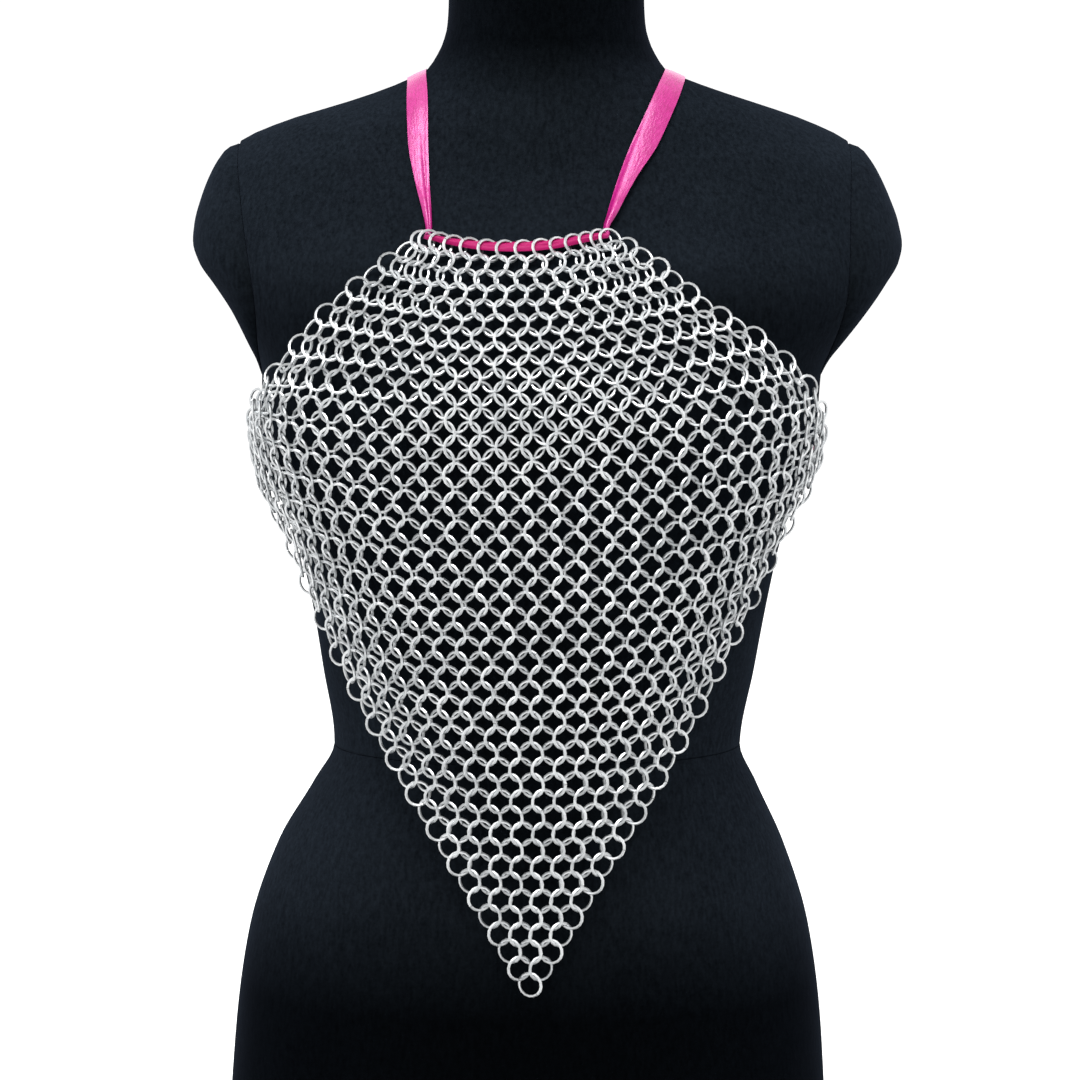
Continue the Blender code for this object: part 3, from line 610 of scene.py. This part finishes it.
def mail_point(row, share):
    """A point of the mail's middle surface.  The run along the level section is the reach times the share,
    widened in the middle by the crowd and nearer the ends by the swell, plus the sway; the height falls from
    the edge to the centre with the square of the share.  Slant, arch, bow and swell bend the inside of a row
    and leave its ends alone.  The run is then found along the section by adding up its short chords."""
    row, share = np.broadcast_arrays(np.asarray(row, dtype=float), np.asarray(share, dtype=float))
    centre, edge, reach, crowd, sway, drift, tilt, slant, arch, bow, swell = read_all(
        RING_ROWS, ROW_COLUMNS, row)
    reach = np.maximum(reach, LEAST_REACH)
    inner = np.clip(share, -1, 1)
    free = 1 - inner ** 2
    run = (sway + (drift - sway) * inner ** 2 + reach * inner * (1 + free * (crowd + swell * inner ** 2))
           + bow * inner ** 2 * free + (share - inner) * reach)
    height = centre + (edge - centre) * inner ** 2 + tilt / 2 * inner ** 3
    height = height + slant * inner * free + arch * inner ** 2 * free
    middle, half, front, power = read_all(DRAPE_SECTIONS, DRAPE_COLUMNS, height)
    turn = np.linspace(0, math.pi / 2, CHORDS + 1)
    x = half[:, None] * np.sin(turn) ** (2 / power[:, None])
    y = -front[:, None] * np.abs(np.cos(turn)) ** (2 / power[:, None])
    chord = np.hypot(np.diff(x, axis=1), np.diff(y, axis=1))
    length = np.concatenate([np.zeros((len(x), 1)), np.cumsum(chord, axis=1)], axis=1)
    gone = np.abs(run)[:, None]
    i = np.clip((length < gone).sum(axis=1) - 1, 0, CHORDS - 1)
    k = np.arange(len(x))
    part = (gone[:, 0] - length[k, i]) / (length[k, i + 1] - length[k, i])
    along = x[k, i] + part * (x[k, i + 1] - x[k, i])
    out_ward = y[k, i] + part * (y[k, i + 1] - y[k, i])
    return np.stack([middle + np.sign(run) * along, out_ward, height], axis=1)


# %% [markdown]
# ## Rings in their places
# European four-in-one mail: every ring holds two in the row above and two in the row below.  So the rings
# stand on a chessboard pattern, and a row has rings only on every second column.  The kite widens by one
# column on each side up to row 31, and narrows again to the fourteen rings that take the ribbon.
# Rings can't lie flat in such a weave.  Each row leans sideways, and the next row leans the other way.

# %% Lattice of rings and their first lean
RING_INSIDE, WIRE = 10.3, 1.4  # mm, inside diameter and wire
RING_LINE = (RING_INSIDE + WIRE) / 2  # radius of the wire's own line
WIDE_ROW, TOP_ROW = 31, 49  # the row that reaches furthest, and the ribbon's row
row_number = np.arange(TOP_ROW + 1)
row_last = np.where(row_number <= WIDE_ROW, row_number, 2 * WIDE_ROW - row_number)
board_row, board_column = np.meshgrid(row_number, np.arange(-WIDE_ROW, WIDE_ROW + 1), indexing="ij")
used = (np.abs(board_column) <= row_last[board_row]) & ((board_row + board_column) % 2 == 0)
ring_row, ring_column = board_row[used], board_column[used]
ring_last = row_last[ring_row]
share = ring_column / np.maximum(ring_last, 1)
home = mail_point(ring_row, share)
aside = 0.5 / np.maximum(ring_last, 2)
right = unit(mail_point(ring_row, share + aside) - mail_point(ring_row, share - aside))
upper = mail_point(np.minimum(ring_row + 0.5, TOP_ROW), share)
lower = mail_point(np.maximum(ring_row - 0.5, 0), share)
outward = unit(np.cross(right, upper - lower))
upward = np.cross(outward, right)

chance = np.random.default_rng(7)
LEAN, TOP_LEAN = 17.0, 26.0  # degrees; the ribbon props its own row further open
LEAN_STRAY, NOD_STRAY, PLACE_STRAY = 1.5, 2.5, 0.12  # how unlike each other rings are: degrees, then mm
lean = np.radians(np.where(ring_row == TOP_ROW, TOP_LEAN, LEAN) + chance.normal(0, LEAN_STRAY, len(home)))
way = np.where(ring_row % 2 == 0, 1.0, -1.0)
across = right * np.cos(lean)[:, None] + outward * (way * np.sin(lean))[:, None]
nod = np.radians(chance.normal(0, NOD_STRAY, len(home)))[:, None]
rise = square_to(upward * np.cos(nod) + outward * np.sin(nod), across)
centre = home + chance.normal(0, PLACE_STRAY, home.shape)
print(len(home), "rings in", TOP_ROW + 1, "rows")

# %% [markdown]
# ## Letting the rings settle
# Set out by formula, some wires would run through each other.  A short simulation cures that, much as
# shaking the real thing does.  Each ring is a circle of points.  Where a point comes nearer to another
# ring's wire than one wire's thickness, both rings are pushed apart and turned a little.  The wire starts
# thin and grows, so that no ring jumps to the wrong side of its neighbour.

# %% Settling
RING_SAMPLES = 32
CLEAR = 0.02  # mm, air that is left between two wires
GAIN = 0.25  # share of each push and turn that is made at once
MOST_MOVE, MOST_TURN = 0.25, 0.05  # mm and radians, the most in one round
sample = np.arange(RING_SAMPLES) * 2 * math.pi / RING_SAMPLES
cosine, sine = np.cos(sample)[:, None], np.sin(sample)[:, None]


def close_pairs(centre):
    """Numbers of all rings that are near enough to touch, each pair both ways round."""
    apart = np.linalg.norm(centre[:, None] - centre[None], axis=2)
    one, other = np.where(np.triu(apart < 2 * RING_LINE + WIRE + 0.1, 1))
    return np.concatenate([one, other]), np.concatenate([other, one])


def eased(step, most):
    """Steps times the gain, and shortened where they would then be longer than the most allowed."""
    length = GAIN * np.linalg.norm(step, axis=1, keepdims=True)
    return step * (GAIN * np.minimum(1, most / np.maximum(length, 1e-9)))


def settle(centre, across, rise, one, other, reach):
    """One round.  The nearest point of the other ring's line is its radius along the sample's shadow in its
    plane.  The push is half the missing distance, and the turning is the push crossed with its arm."""
    sample_at = centre[:, None] + RING_LINE * (cosine * across[:, None] + sine * rise[:, None])
    facing = np.cross(across, rise)[other][:, None]
    point = sample_at[one]
    arm = point - centre[other][:, None]
    near = centre[other][:, None] + RING_LINE * square_to(arm, facing)
    gap = point - near
    distance = np.linalg.norm(gap, axis=2, keepdims=True)
    missing = np.maximum(0, reach - distance)
    push = gap / np.maximum(distance, 1e-6) * missing * 0.5
    move = np.zeros_like(centre)
    turn = np.zeros_like(centre)
    np.add.at(move, one, push.sum(axis=1))
    np.add.at(move, other, -push.sum(axis=1))
    np.add.at(turn, one, np.cross(point - centre[one][:, None], push).sum(axis=1))
    np.add.at(turn, other, np.cross(near - centre[other][:, None], -push).sum(axis=1))
    turn = eased(turn / (RING_LINE ** 2 * 0.5), MOST_TURN)
    across = unit(across + np.cross(turn, across))
    rise = square_to(rise + np.cross(turn, rise), across)
    return centre + eased(move, MOST_MOVE), across, rise, missing.max()


ROUNDS = 200
PAIR_ROUNDS = 25  # rounds between two searches for close pairs
THIN, GROWTH = 0.3, 1.4  # share of the wire's thickness at the start, and its gain if it grew all the time
PROP = 0.3  # how firmly the ribbon holds its row open
HOMING, LAST_HOMING = 0.01, 0.85  # pull towards the first place, and when it lets go
threaded = ring_row == TOP_ROW
propped_across, propped_rise = across[threaded], rise[threaded]
for step in range(ROUNDS):
    if step % PAIR_ROUNDS == 0:
        one, other = close_pairs(centre)
    grown = (WIRE + CLEAR) * min(1.0, THIN + GROWTH * step / ROUNDS)
    centre, across, rise, worst = settle(centre, across, rise, one, other, grown)
    across[threaded] = unit((1 - PROP) * across[threaded] + PROP * propped_across)
    rise[threaded] = rise[threaded] + PROP * (propped_rise - rise[threaded])
    rise = square_to(rise, across)
    if step < LAST_HOMING * ROUNDS:
        centre = centre + HOMING * (home - centre)
print(f"settled in {ROUNDS} rounds, wires overlap by {worst:.2f} mm at most")

# %% [markdown]
# ## Aluminium wire
# The wire is bright aluminium that has gone matt and pale from tumbling.  A metal has no colour of its own
# beneath its shine, so the base colour is the colour of its reflection.  Each ring gets its own number,
# and with it a slightly different tone and roughness, as rings from one coil have.

# %% Tumbled aluminium
SCUFF = 0.9  # mm across the marks that tumbling leaves
aluminium, tree = new_material("tumbled_aluminium")
place = add_node(tree, "TexCoord")
own = add_node(tree, "Attribute", attribute_name="ring_tone")
tone = add_node(tree, "ValToRGB", {"Fac": own.outputs["Fac"]})
for stop, code in zip(tone.color_ramp.elements, ("#D0D3D5", "#EEF0F1")):
    stop.color = linear(code)
scuff = add_node(tree, "TexNoise", {
    "Vector": place.outputs["Object"], "Scale": 1 / (SCUFF * MM), "Detail": 2.0})
dull = add_node(tree, "MapRange", {
    "Value": scuff, "From Min": 0.3, "From Max": 0.7, "To Min": 0.34, "To Max": 0.48})
relief = add_node(tree, "Bump", {"Height": scuff, "Strength": 0.15, "Distance": 0.00005})
metal = add_node(tree, "BsdfPrincipled", {
    "Base Color": tone, "Metallic": 1.0, "Roughness": dull, "Normal": relief})
add_node(tree, "OutputMaterial", {"Surface": metal})
print("material", aluminium.name)

# %% [markdown]
# ## The rings themselves
# A butted ring is one turn of a coil, cut and closed, so it has two cut ends that almost meet and don't
# quite line up.  There are 933 of them, so each has only 80 faces and two ends, and smooth shading rounds
# them.  A five-sided wire looks thinner than a round one, so it is drawn a little thicker.

# %% Ring mesh
TURN_STEPS, WIRE_SIDES = 16, 5
CUT = 0.3  # mm, the opening between the cut ends
CUT_STRAY = 0.10  # mm, how far out of line they are
open_angle = CUT / RING_LINE
cut_at = chance.uniform(0, 2 * math.pi, len(centre))[:, None, None]
offset = chance.normal(0, CUT_STRAY, len(centre))[:, None, None]
part = np.linspace(0, 1, TURN_STEPS + 1)[None, :, None]
around = cut_at + open_angle / 2 + part * (2 * math.pi - open_angle)
wire_turn = (np.arange(WIRE_SIDES) * 2 * math.pi / WIRE_SIDES)[None, None]
wire_radius = WIRE / 2 * math.pi / WIRE_SIDES / math.sin(math.pi / WIRE_SIDES)
ring_radius = RING_LINE * math.pi / TURN_STEPS / math.sin(math.pi / TURN_STEPS)


def ring_points():
    """Points of every ring: the ring's line plus the wire's circle across it.  One end stands off the plane
    of the ring by the offset, and the line climbs evenly from one end to the other, like a coil."""
    facing = np.cross(across, rise)
    radius = ring_radius + wire_radius * np.cos(wire_turn)
    climb = offset * (part - 0.5) + wire_radius * np.sin(wire_turn)
    x = (radius * np.cos(around))[..., None] * across[:, None, None]
    y = (radius * np.sin(around))[..., None] * rise[:, None, None]
    z = climb[..., None] * facing[:, None, None]
    return centre[:, None, None] + x + y + z


points = ring_points()
one_ring = grid_faces(TURN_STEPS + 1, WIRE_SIDES, around=True)[:, ::-1]
start = (np.arange(len(points)) * (TURN_STEPS + 1) * WIRE_SIDES)[:, None]
tube = (start[..., None] + one_ring[None]).reshape(-1, 4).tolist()
first_end = (start + np.arange(WIRE_SIDES)).tolist()
last_end = (start + TURN_STEPS * WIRE_SIDES + np.arange(WIRE_SIDES)[::-1]).tolist()
mail = add_piece("mail_rings", points, tube + first_end + last_end, aluminium, 60.0, "rings", "mail_front")
tones = np.repeat(chance.uniform(0, 1, len(points)), (TURN_STEPS + 1) * WIRE_SIDES)
mark_points(mail, "ring_tone", tones)

# %% [markdown]
# ## Satin ribbon
# The ribbon is single-face polyester satin, 14 mm wide.  Its long warp threads lie side by side along the
# length and throw the light back in one streak, so its gloss is stretched across them.  Where it is rolled
# through the rings or gathered, its pink is painted deeper, a painted shade.  The threads are 0.1 mm apart;
# the streaks are drawn 1.1 mm apart to show, and the ribbon has been handled, so a shallow relief breaks up
# its glare.

# %% Hot pink satin
STREAK = 1.1  # mm between the drawn streaks
BLOT = 6  # mm across the soft marks that handling leaves
satin, tree = new_material("hot_pink_satin")
place = add_node(tree, "UVMap", uv_map="along_and_across")
long_place = add_node(tree, "Mapping", {"Vector": place, "Scale": (0.3, 1.0, 1.0)})
streaks = add_node(tree, "TexNoise", {
    "Vector": long_place, "Scale": 1 / (STREAK * MM), "Detail": 1.0, "Roughness": 0.5})
blot = add_node(tree, "TexNoise", {"Vector": place, "Scale": 1 / (BLOT * MM), "Detail": 3.0})
mixed = add_node(tree, "Math", {0: blot, 1: 0.5, 2: streaks}, operation="MULTIPLY_ADD")
pink = add_node(tree, "ValToRGB", {"Fac": mixed})
for stop, at, code in zip(pink.color_ramp.elements, (0.35, 1.0), ("#A00C64", "#C02083")):
    stop.position, stop.color = at, linear(code)
# Painted shade: where the ribbon is rolled through the rings or gathered, its pink is mixed towards the
# deeper #A8085A; there it is also rougher and less glossy.
rolled_and_painted_deep = add_node(tree, "Attribute", attribute_name="rolled_and_painted_deep")
pink_painted_deeper = add_node(tree, "Mix", {
    "Factor": rolled_and_painted_deep.outputs["Fac"], 6: pink, 7: linear("#A8085A")}, data_type="RGBA")
gloss = add_node(tree, "MapRange", {
    "Value": streaks, "From Min": 0.3, "From Max": 0.7, "To Min": 0.29, "To Max": 0.36})
crushed = add_node(tree, "Math", {0: rolled_and_painted_deep.outputs["Fac"], 1: 0.25, 2: gloss}, operation="MULTIPLY_ADD")
shine = add_node(tree, "Math", {0: rolled_and_painted_deep.outputs["Fac"], 1: -0.6, 2: 1.0}, operation="MULTIPLY_ADD")
relief = add_node(tree, "Bump", {"Height": mixed, "Strength": 0.6, "Distance": 0.0003})
weave = add_node(tree, "BsdfPrincipled", {
    "Base Color": pink_painted_deeper, "Roughness": crushed, "Specular IOR Level": shine,
    "Specular Tint": linear("#FFD0F4"), "Anisotropic": 0.4, "Normal": relief})
add_node(tree, "OutputMaterial", {"Surface": weave})
print("material", satin.name)

# %% [markdown]
# ## Shape of a ribbon
# A ribbon is a line of stations, each with a centre, the way it faces and a width.  Over the shoulder it
# lies flat.  Towards the rings it is gathered, so it has to fold: beyond a fold line one side turns back,
# and a groove runs beside it.  The cloth is 0.35 mm thick, made as a wall with a front and a back.

# %% Ribbon surface
CLOTH = 0.35
ACROSS = 19  # points across the ribbon
GROOVE_WIDE = 0.25  # width of the bell-shaped groove, in half widths


def run_along(line):
    """How far along a line each of its points lies: the straight steps between them, added up."""
    return np.concatenate([[0.0], np.cumsum(np.linalg.norm(np.diff(line, axis=0), axis=1))])


def ribbon_piece(name, nodes, line, facing, wide, crown, groove, drop, fold, rolled_and_painted_deep):
    """A point at share v across, from -1 to 1, lies v half widths to the side of the line, and stands off it
    by the crown times one minus v squared, less a bell-shaped groove at the fold line, less the drop times a
    smooth step from the fold line to the far edge."""
    along = unit(np.gradient(line, axis=0))
    facing = square_to(facing, along)
    side = np.cross(facing, along)
    v = np.linspace(-1, 1, ACROSS)[None]
    past = v - fold[:, None]
    beyond = np.clip(past / np.maximum(1 - fold[:, None], 0.05), 0, 1)
    stand = (crown[:, None] * (1 - v ** 2) - groove[:, None] * np.exp(-(past / GROOVE_WIDE) ** 2)
             - drop[:, None] * beyond ** 2 * (3 - 2 * beyond))
    stand = stand - stand.min(axis=1, keepdims=True)
    over = v * wide[:, None] / 2
    middle = line[:, None] + side[:, None] * over[..., None] + facing[:, None] * stand[..., None]
    normal = unit(np.cross(np.gradient(middle, axis=0), np.gradient(middle, axis=1)))
    normal *= np.sign(np.sum(normal * facing[:, None], axis=(1, 2)))[:, None, None]
    front = middle + normal * CLOTH
    points = np.concatenate([front.reshape(-1, 3), middle.reshape(-1, 3)])
    piece = add_piece(name, points, wall_faces(*middle.shape[:2]), satin, 60.0, "ribbon", *nodes)
    gone = np.repeat(run_along(line), ACROSS)
    lay_map(piece, np.tile(np.stack([gone, over.ravel()], axis=1) * MM, (2, 1)))
    mark_points(piece, "rolled_and_painted_deep", np.tile(np.repeat(rolled_and_painted_deep, ACROSS), 2))
    print(f"{name}: {gone[-1]:.0f} mm long")
    return piece


# %% [markdown]
# ## Ribbon round the neck
# It is one ribbon: down the left of the chest, through the fourteen top rings, and up the right to the
# nape.  Its stations come from two short tables for the straps and from the ring centres between them, so
# it threads the rings wherever they have settled.

# %% Neck ribbon
ASIDE = 0.5  # mm or degrees to each side where a slope is measured
# Each row of a strap: x, y, width, lift off the form, groove, drop and fold line.
LEFT_STRAP = (
    (-58.4, -71.5, 2.4, 2, 0.9, 0.8, 0.3),
    (-59.5, -66.5, 3.8, 1.9, 1, 0.8, 0.35),
    (-62.2, -58, 7, 1.6, 0.9, 0.5, 0.42),
    (-64.7, -48, 10.2, 1.1, 0.5, 0.2, 0.5),
    (-65.8, -34, 11.2, 0.7, 0.1, 0, 0.6),
    (-66.7, -18, 11, 0.6, 0, 0, 0.6),
    (-67.2, -4, 11.2, 0.6, 0, 0, 0.6),
    (-67.4, 8, 12, 0.7, 0, 0, 0.6),
    (-64.7, 22, 13, 0.8, 0, 0, 0.6),
    (-57, 37, 13.6, 0.8, 0, 0, 0.6),
    (-43, 50, 13.6, 0.8, 0.1, 0, 0.4),
    (-26, 58.5, 11.6, 0.7, 0.4, 0.2, 0.3),
    (-6.2, 63, 7, 1, 0.8, 0.6, 0.2),
)
RIGHT_STRAP = (
    (29.4, -73.5, 2.4, 2, 0.1, 1.6, -0.1),
    (32.8, -68.5, 4.6, 2, 0.1, 2.2, 0.05),
    (40.8, -58.5, 8.6, 1.5, 0.1, 2, 0.3),
    (51, -49, 12.4, 1.1, 0.1, 1, 0.6),
    (61.3, -36, 12.2, 0.7, 0.1, 0.2, 0.8),
    (66, -18, 11.4, 0.6, 0, 0, 0.8),
    (66.9, -4, 11.4, 0.6, 0, 0, 0.8),
    (66.8, 8, 12, 0.7, 0, 0, 0.8),
    (65, 22, 13, 0.8, 0, 0, 0.8),
    (57, 37, 13.6, 0.8, 0, 0, 0.8),
    (43, 50, 13.6, 0.8, 0.1, 0, 0.4),
    (26, 58.5, 11.6, 0.7, 0.4, 0.2, 0.3),
    (6.2, 63, 7, 1, 0.8, 0.6, 0.2),
)


def strap_stations(table):
    """Centres and facings of a strap over the form: the height over each plan point, lifted along the
    normal that the two slopes of the surface give."""
    x, y, wide, lift, groove, drop, fold = np.array(table, dtype=float).T
    z = form_height(x, y)
    slope_x = form_height(x + ASIDE, y) - form_height(x - ASIDE, y)
    slope_y = form_height(x, y + ASIDE) - form_height(x, y - ASIDE)
    facing = unit(np.stack([-slope_x, -slope_y, np.ones_like(x)], axis=1))
    centres = np.stack([x, y, z], axis=1) + facing * lift[:, None]
    return np.column_stack([centres, facing, wide, groove, drop, fold])


# The ribbon through the top row, ring by ring from the left: its width there, its groove, its drop and
# where its fold line lies.  It is rolled up as it goes, so the fold line wanders across it.
THREAD_COLUMNS = ("ring", "wide", "groove", "drop", "fold")
THREAD = (
    (0, 2.6, 0.3, 0.4, 0.4),
    (1, 3, 0.3, 0.5, 0.4),
    (3, 4, 0.5, 0.8, 0.2),
    (5, 5.4, 0.4, 0.9, -0.3),
    (7, 5.8, 0.6, 0.9, 0.3),
    (8, 5.4, 0.7, 0.6, -0.2),
    (10, 4.8, 0.5, 0.8, 0.3),
    (12, 3.4, 0.4, 0.6, 0.1),
    (13, 2.6, 0.3, 0.4, 0.1),
)
THREAD_RISE, THREAD_BACK = 2.6, 0.8  # the rings hang from it, so it runs high in them
CORNER = 1.5  # how far the corner of the ribbon lies inside the last ring
NECK_STEPS, TIE_STEPS = 240, 130  # faces along the neck ribbon, and along each back ribbon
CROWN, ROLLED_CROWN = 0.3, 0.9  # mm that the ribbon bows out, and what rolling it up adds
ROLL_WIDE, ROLL_EASE = 7.0, 2.5  # mm, the width where that starts, and over how much narrowing
CORNER_EASE = 4  # mm of ribbon over which the painted shade of the roll comes in
order = np.argsort(ring_column[threaded])
ring = np.arange(len(order), dtype=float)
hang = upward[threaded][order] * THREAD_RISE - outward[threaded][order] * THREAD_BACK
thread_line = centre[threaded][order] + hang
thread_line[0] += unit(thread_line[1] - thread_line[0]) * CORNER
thread_line[-1] += unit(thread_line[-2] - thread_line[-1]) * CORNER
thread_shape = read_all(THREAD, THREAD_COLUMNS, ring)
thread = np.column_stack([thread_line, outward[threaded][order], *thread_shape])
stations = np.concatenate([strap_stations(LEFT_STRAP)[::-1], thread, strap_stations(RIGHT_STRAP)])
gone = run_along(stations[:, :3])
fine = np.linspace(0, gone[-1], NECK_STEPS + 1)
fine_stations = np.column_stack([smooth(fine, gone, each) for each in stations.T])
line, facing = fine_stations[:, :3], fine_stations[:, 3:6]
wide, groove, drop, fold = fine_stations[:, 6:].T
crown = CROWN + ROLLED_CROWN * np.clip((ROLL_WIDE - wide) / ROLL_EASE, 0, 1)
start, end = gone[len(LEFT_STRAP)], gone[-len(RIGHT_STRAP) - 1]
# Share of the ribbon rolled through the rings, which also paints its colour deeper: painted shade.
rolled_and_painted_deep = (np.clip((fine - start) / CORNER_EASE + 0.5, 0, 1)
          * np.clip((end - fine) / CORNER_EASE + 0.5, 0, 1))
NECK_NODES = ("neck_ribbon_front", "neck_ribbon_left", "neck_ribbon_right")
neck = ribbon_piece("neck_ribbon", NECK_NODES, line, facing, wide, crown, groove, drop, fold, rolled_and_painted_deep)

# %% [markdown]
# ## Ribbon across the back
# Two lengths of the same ribbon start at the side corners of the mail, gathered in the last ring, and meet
# in a knot in the middle of the back.  They lie flat on the form, level with the bust.  The mail hangs a
# little askew, so the last ring lies further round on the left side and the ribbon there is shorter.

# %% Back ribbon
# Each row of a tie: angle round the form, height, width, lift off the form, groove, drop and fold line.
TIE_CORNERS = {
    "left": (70.5, 358.4, 2.4, 3, 0.6, 0.6, 0.1),
    "right": (64.5, 364, 2.4, 4.2, 0.6, 0.6, 0.1),
}
BACK_TIE = (
    (77, 361.4, 3.2, 1.2, 0.6, 0.6, 0.1),
    (84, 362.2, 5, 0.7, 0.7, 0.6, 0.2),
    (94, 362.6, 9.6, 0.6, 0.4, 0.2, 0.3),
    (108, 363.4, 14, 0.6, 0, 0, 0.4),
    (130, 364.6, 14, 0.5, 0, 0, 0.4),
    (155, 365.4, 14, 0.5, 0.1, 0, 0.3),
    (172, 365.8, 11.6, 0.6, 0.5, 0.3, 0.2),
    (178.95, 366, 7, 1, 0.8, 0.6, 0.1),
)
TIE_CROWN = 0.2
GATHER_END, GATHER_EASE = 94.0, 12.0  # degrees, where the painted shade of the gathers ends, and over how many it fades out
for side, where in ((-1, "left"), (1, "right")):
    rows = np.array((TIE_CORNERS[where],) + BACK_TIE, dtype=float)
    knots = np.arange(len(rows), dtype=float)
    fine = np.linspace(0, knots[-1], TIE_STEPS + 1)
    angle, height, wide, lift, groove, drop, fold = (smooth(fine, knots, each) for each in rows.T)
    along = form_point(side * angle + ASIDE, height) - form_point(side * angle - ASIDE, height)
    up = form_point(side * angle, height + ASIDE) - form_point(side * angle, height - ASIDE)
    facing = unit(np.cross(along, up))
    line = form_point(side * angle, height) + facing * lift[:, None]
    # Share of the tie gathered into the ring, which also paints its colour deeper: painted shade.
    rolled_and_painted_deep = np.clip((GATHER_END - angle) / GATHER_EASE, 0, 1)
    node = "back_ribbon_" + where
    tie = ribbon_piece(
        node + "_satin", (node,), line, facing, wide, TIE_CROWN + 0 * wide, groove, drop, fold, rolled_and_painted_deep)

# %% [markdown]
# ## Knots
# Each ribbon ends in a plain tight knot.  It is a rounded bundle with the turns of the ribbon running
# over it at a slant, so the radius is eased in and out by a slanting wave.

# %% Two knots
KNOT_SIZE = (11.0, 5.0, 12.0)  # mm along the ribbon, off the form, and up
KNOT_LIFT = 1.2
KNOT_LEVELS, KNOT_SIDES = 41, 64
KNOT_DOME, KNOT_POWER = 0.6, 0.8  # powers that round the bundle off, upwards and around
WRAP_DEPTH, WRAP_TURNS, WRAP_SLANT, WRAP_NARROW = 0.10, 1.5, 2.6, 6  # the cuts between the turns of ribbon


def knot_piece(name, foot, off, node):
    """A rounded bundle: each level shrinks with a power of the cosine of the level, and a slanting sine wave,
    narrowed by a high power, cuts in between the turns of the ribbon."""
    off = unit(np.asarray(off, dtype=float))
    sideways = np.array((1.0, 0.0, 0.0))
    up = np.cross(sideways, off)
    level = np.radians(np.linspace(-80, 80, KNOT_LEVELS))[:, None]
    turn = np.radians(np.arange(KNOT_SIDES) * 360 / KNOT_SIDES)[None]
    wrap = 1 - WRAP_DEPTH * np.abs(np.sin(WRAP_TURNS * turn + WRAP_SLANT * level)) ** WRAP_NARROW
    shrink = np.cos(level) ** KNOT_DOME * wrap
    a = KNOT_SIZE[0] / 2 * shrink * signed_power(np.cos(turn), KNOT_POWER)
    o = KNOT_SIZE[1] / 2 * shrink * signed_power(np.sin(turn), KNOT_POWER)
    u = KNOT_SIZE[2] / 2 * np.sin(level) + 0 * turn
    middle = foot + off * (KNOT_LIFT + KNOT_SIZE[1] / 2)
    points = middle + a[..., None] * sideways + o[..., None] * off + u[..., None] * up
    piece = add_piece(name, points, closed_stack(*points.shape[:2]), satin, 60.0, "ribbon", node)
    lay_map(piece, np.stack([u * MM, (turn + 0 * level) * KNOT_SIZE[0] / 2 * MM], axis=-1).reshape(-1, 2))


NAPE_Y, BACK_KNOT_HEIGHT = 63.0, 366.0
nape_z = float(form_height(np.array(0.0), np.array(NAPE_Y)))
fall = nape_z - float(form_height(np.array(0.0), np.array(NAPE_Y + 1.0)))
knot_piece("nape_knot", np.array((0.0, NAPE_Y, nape_z)), (0.0, fall, 1.0), "neck_knot")
knot_piece("back_tie_knot", form_point(np.array(180.0), BACK_KNOT_HEIGHT), (0.0, 1.0, 0.0), "back_knot")
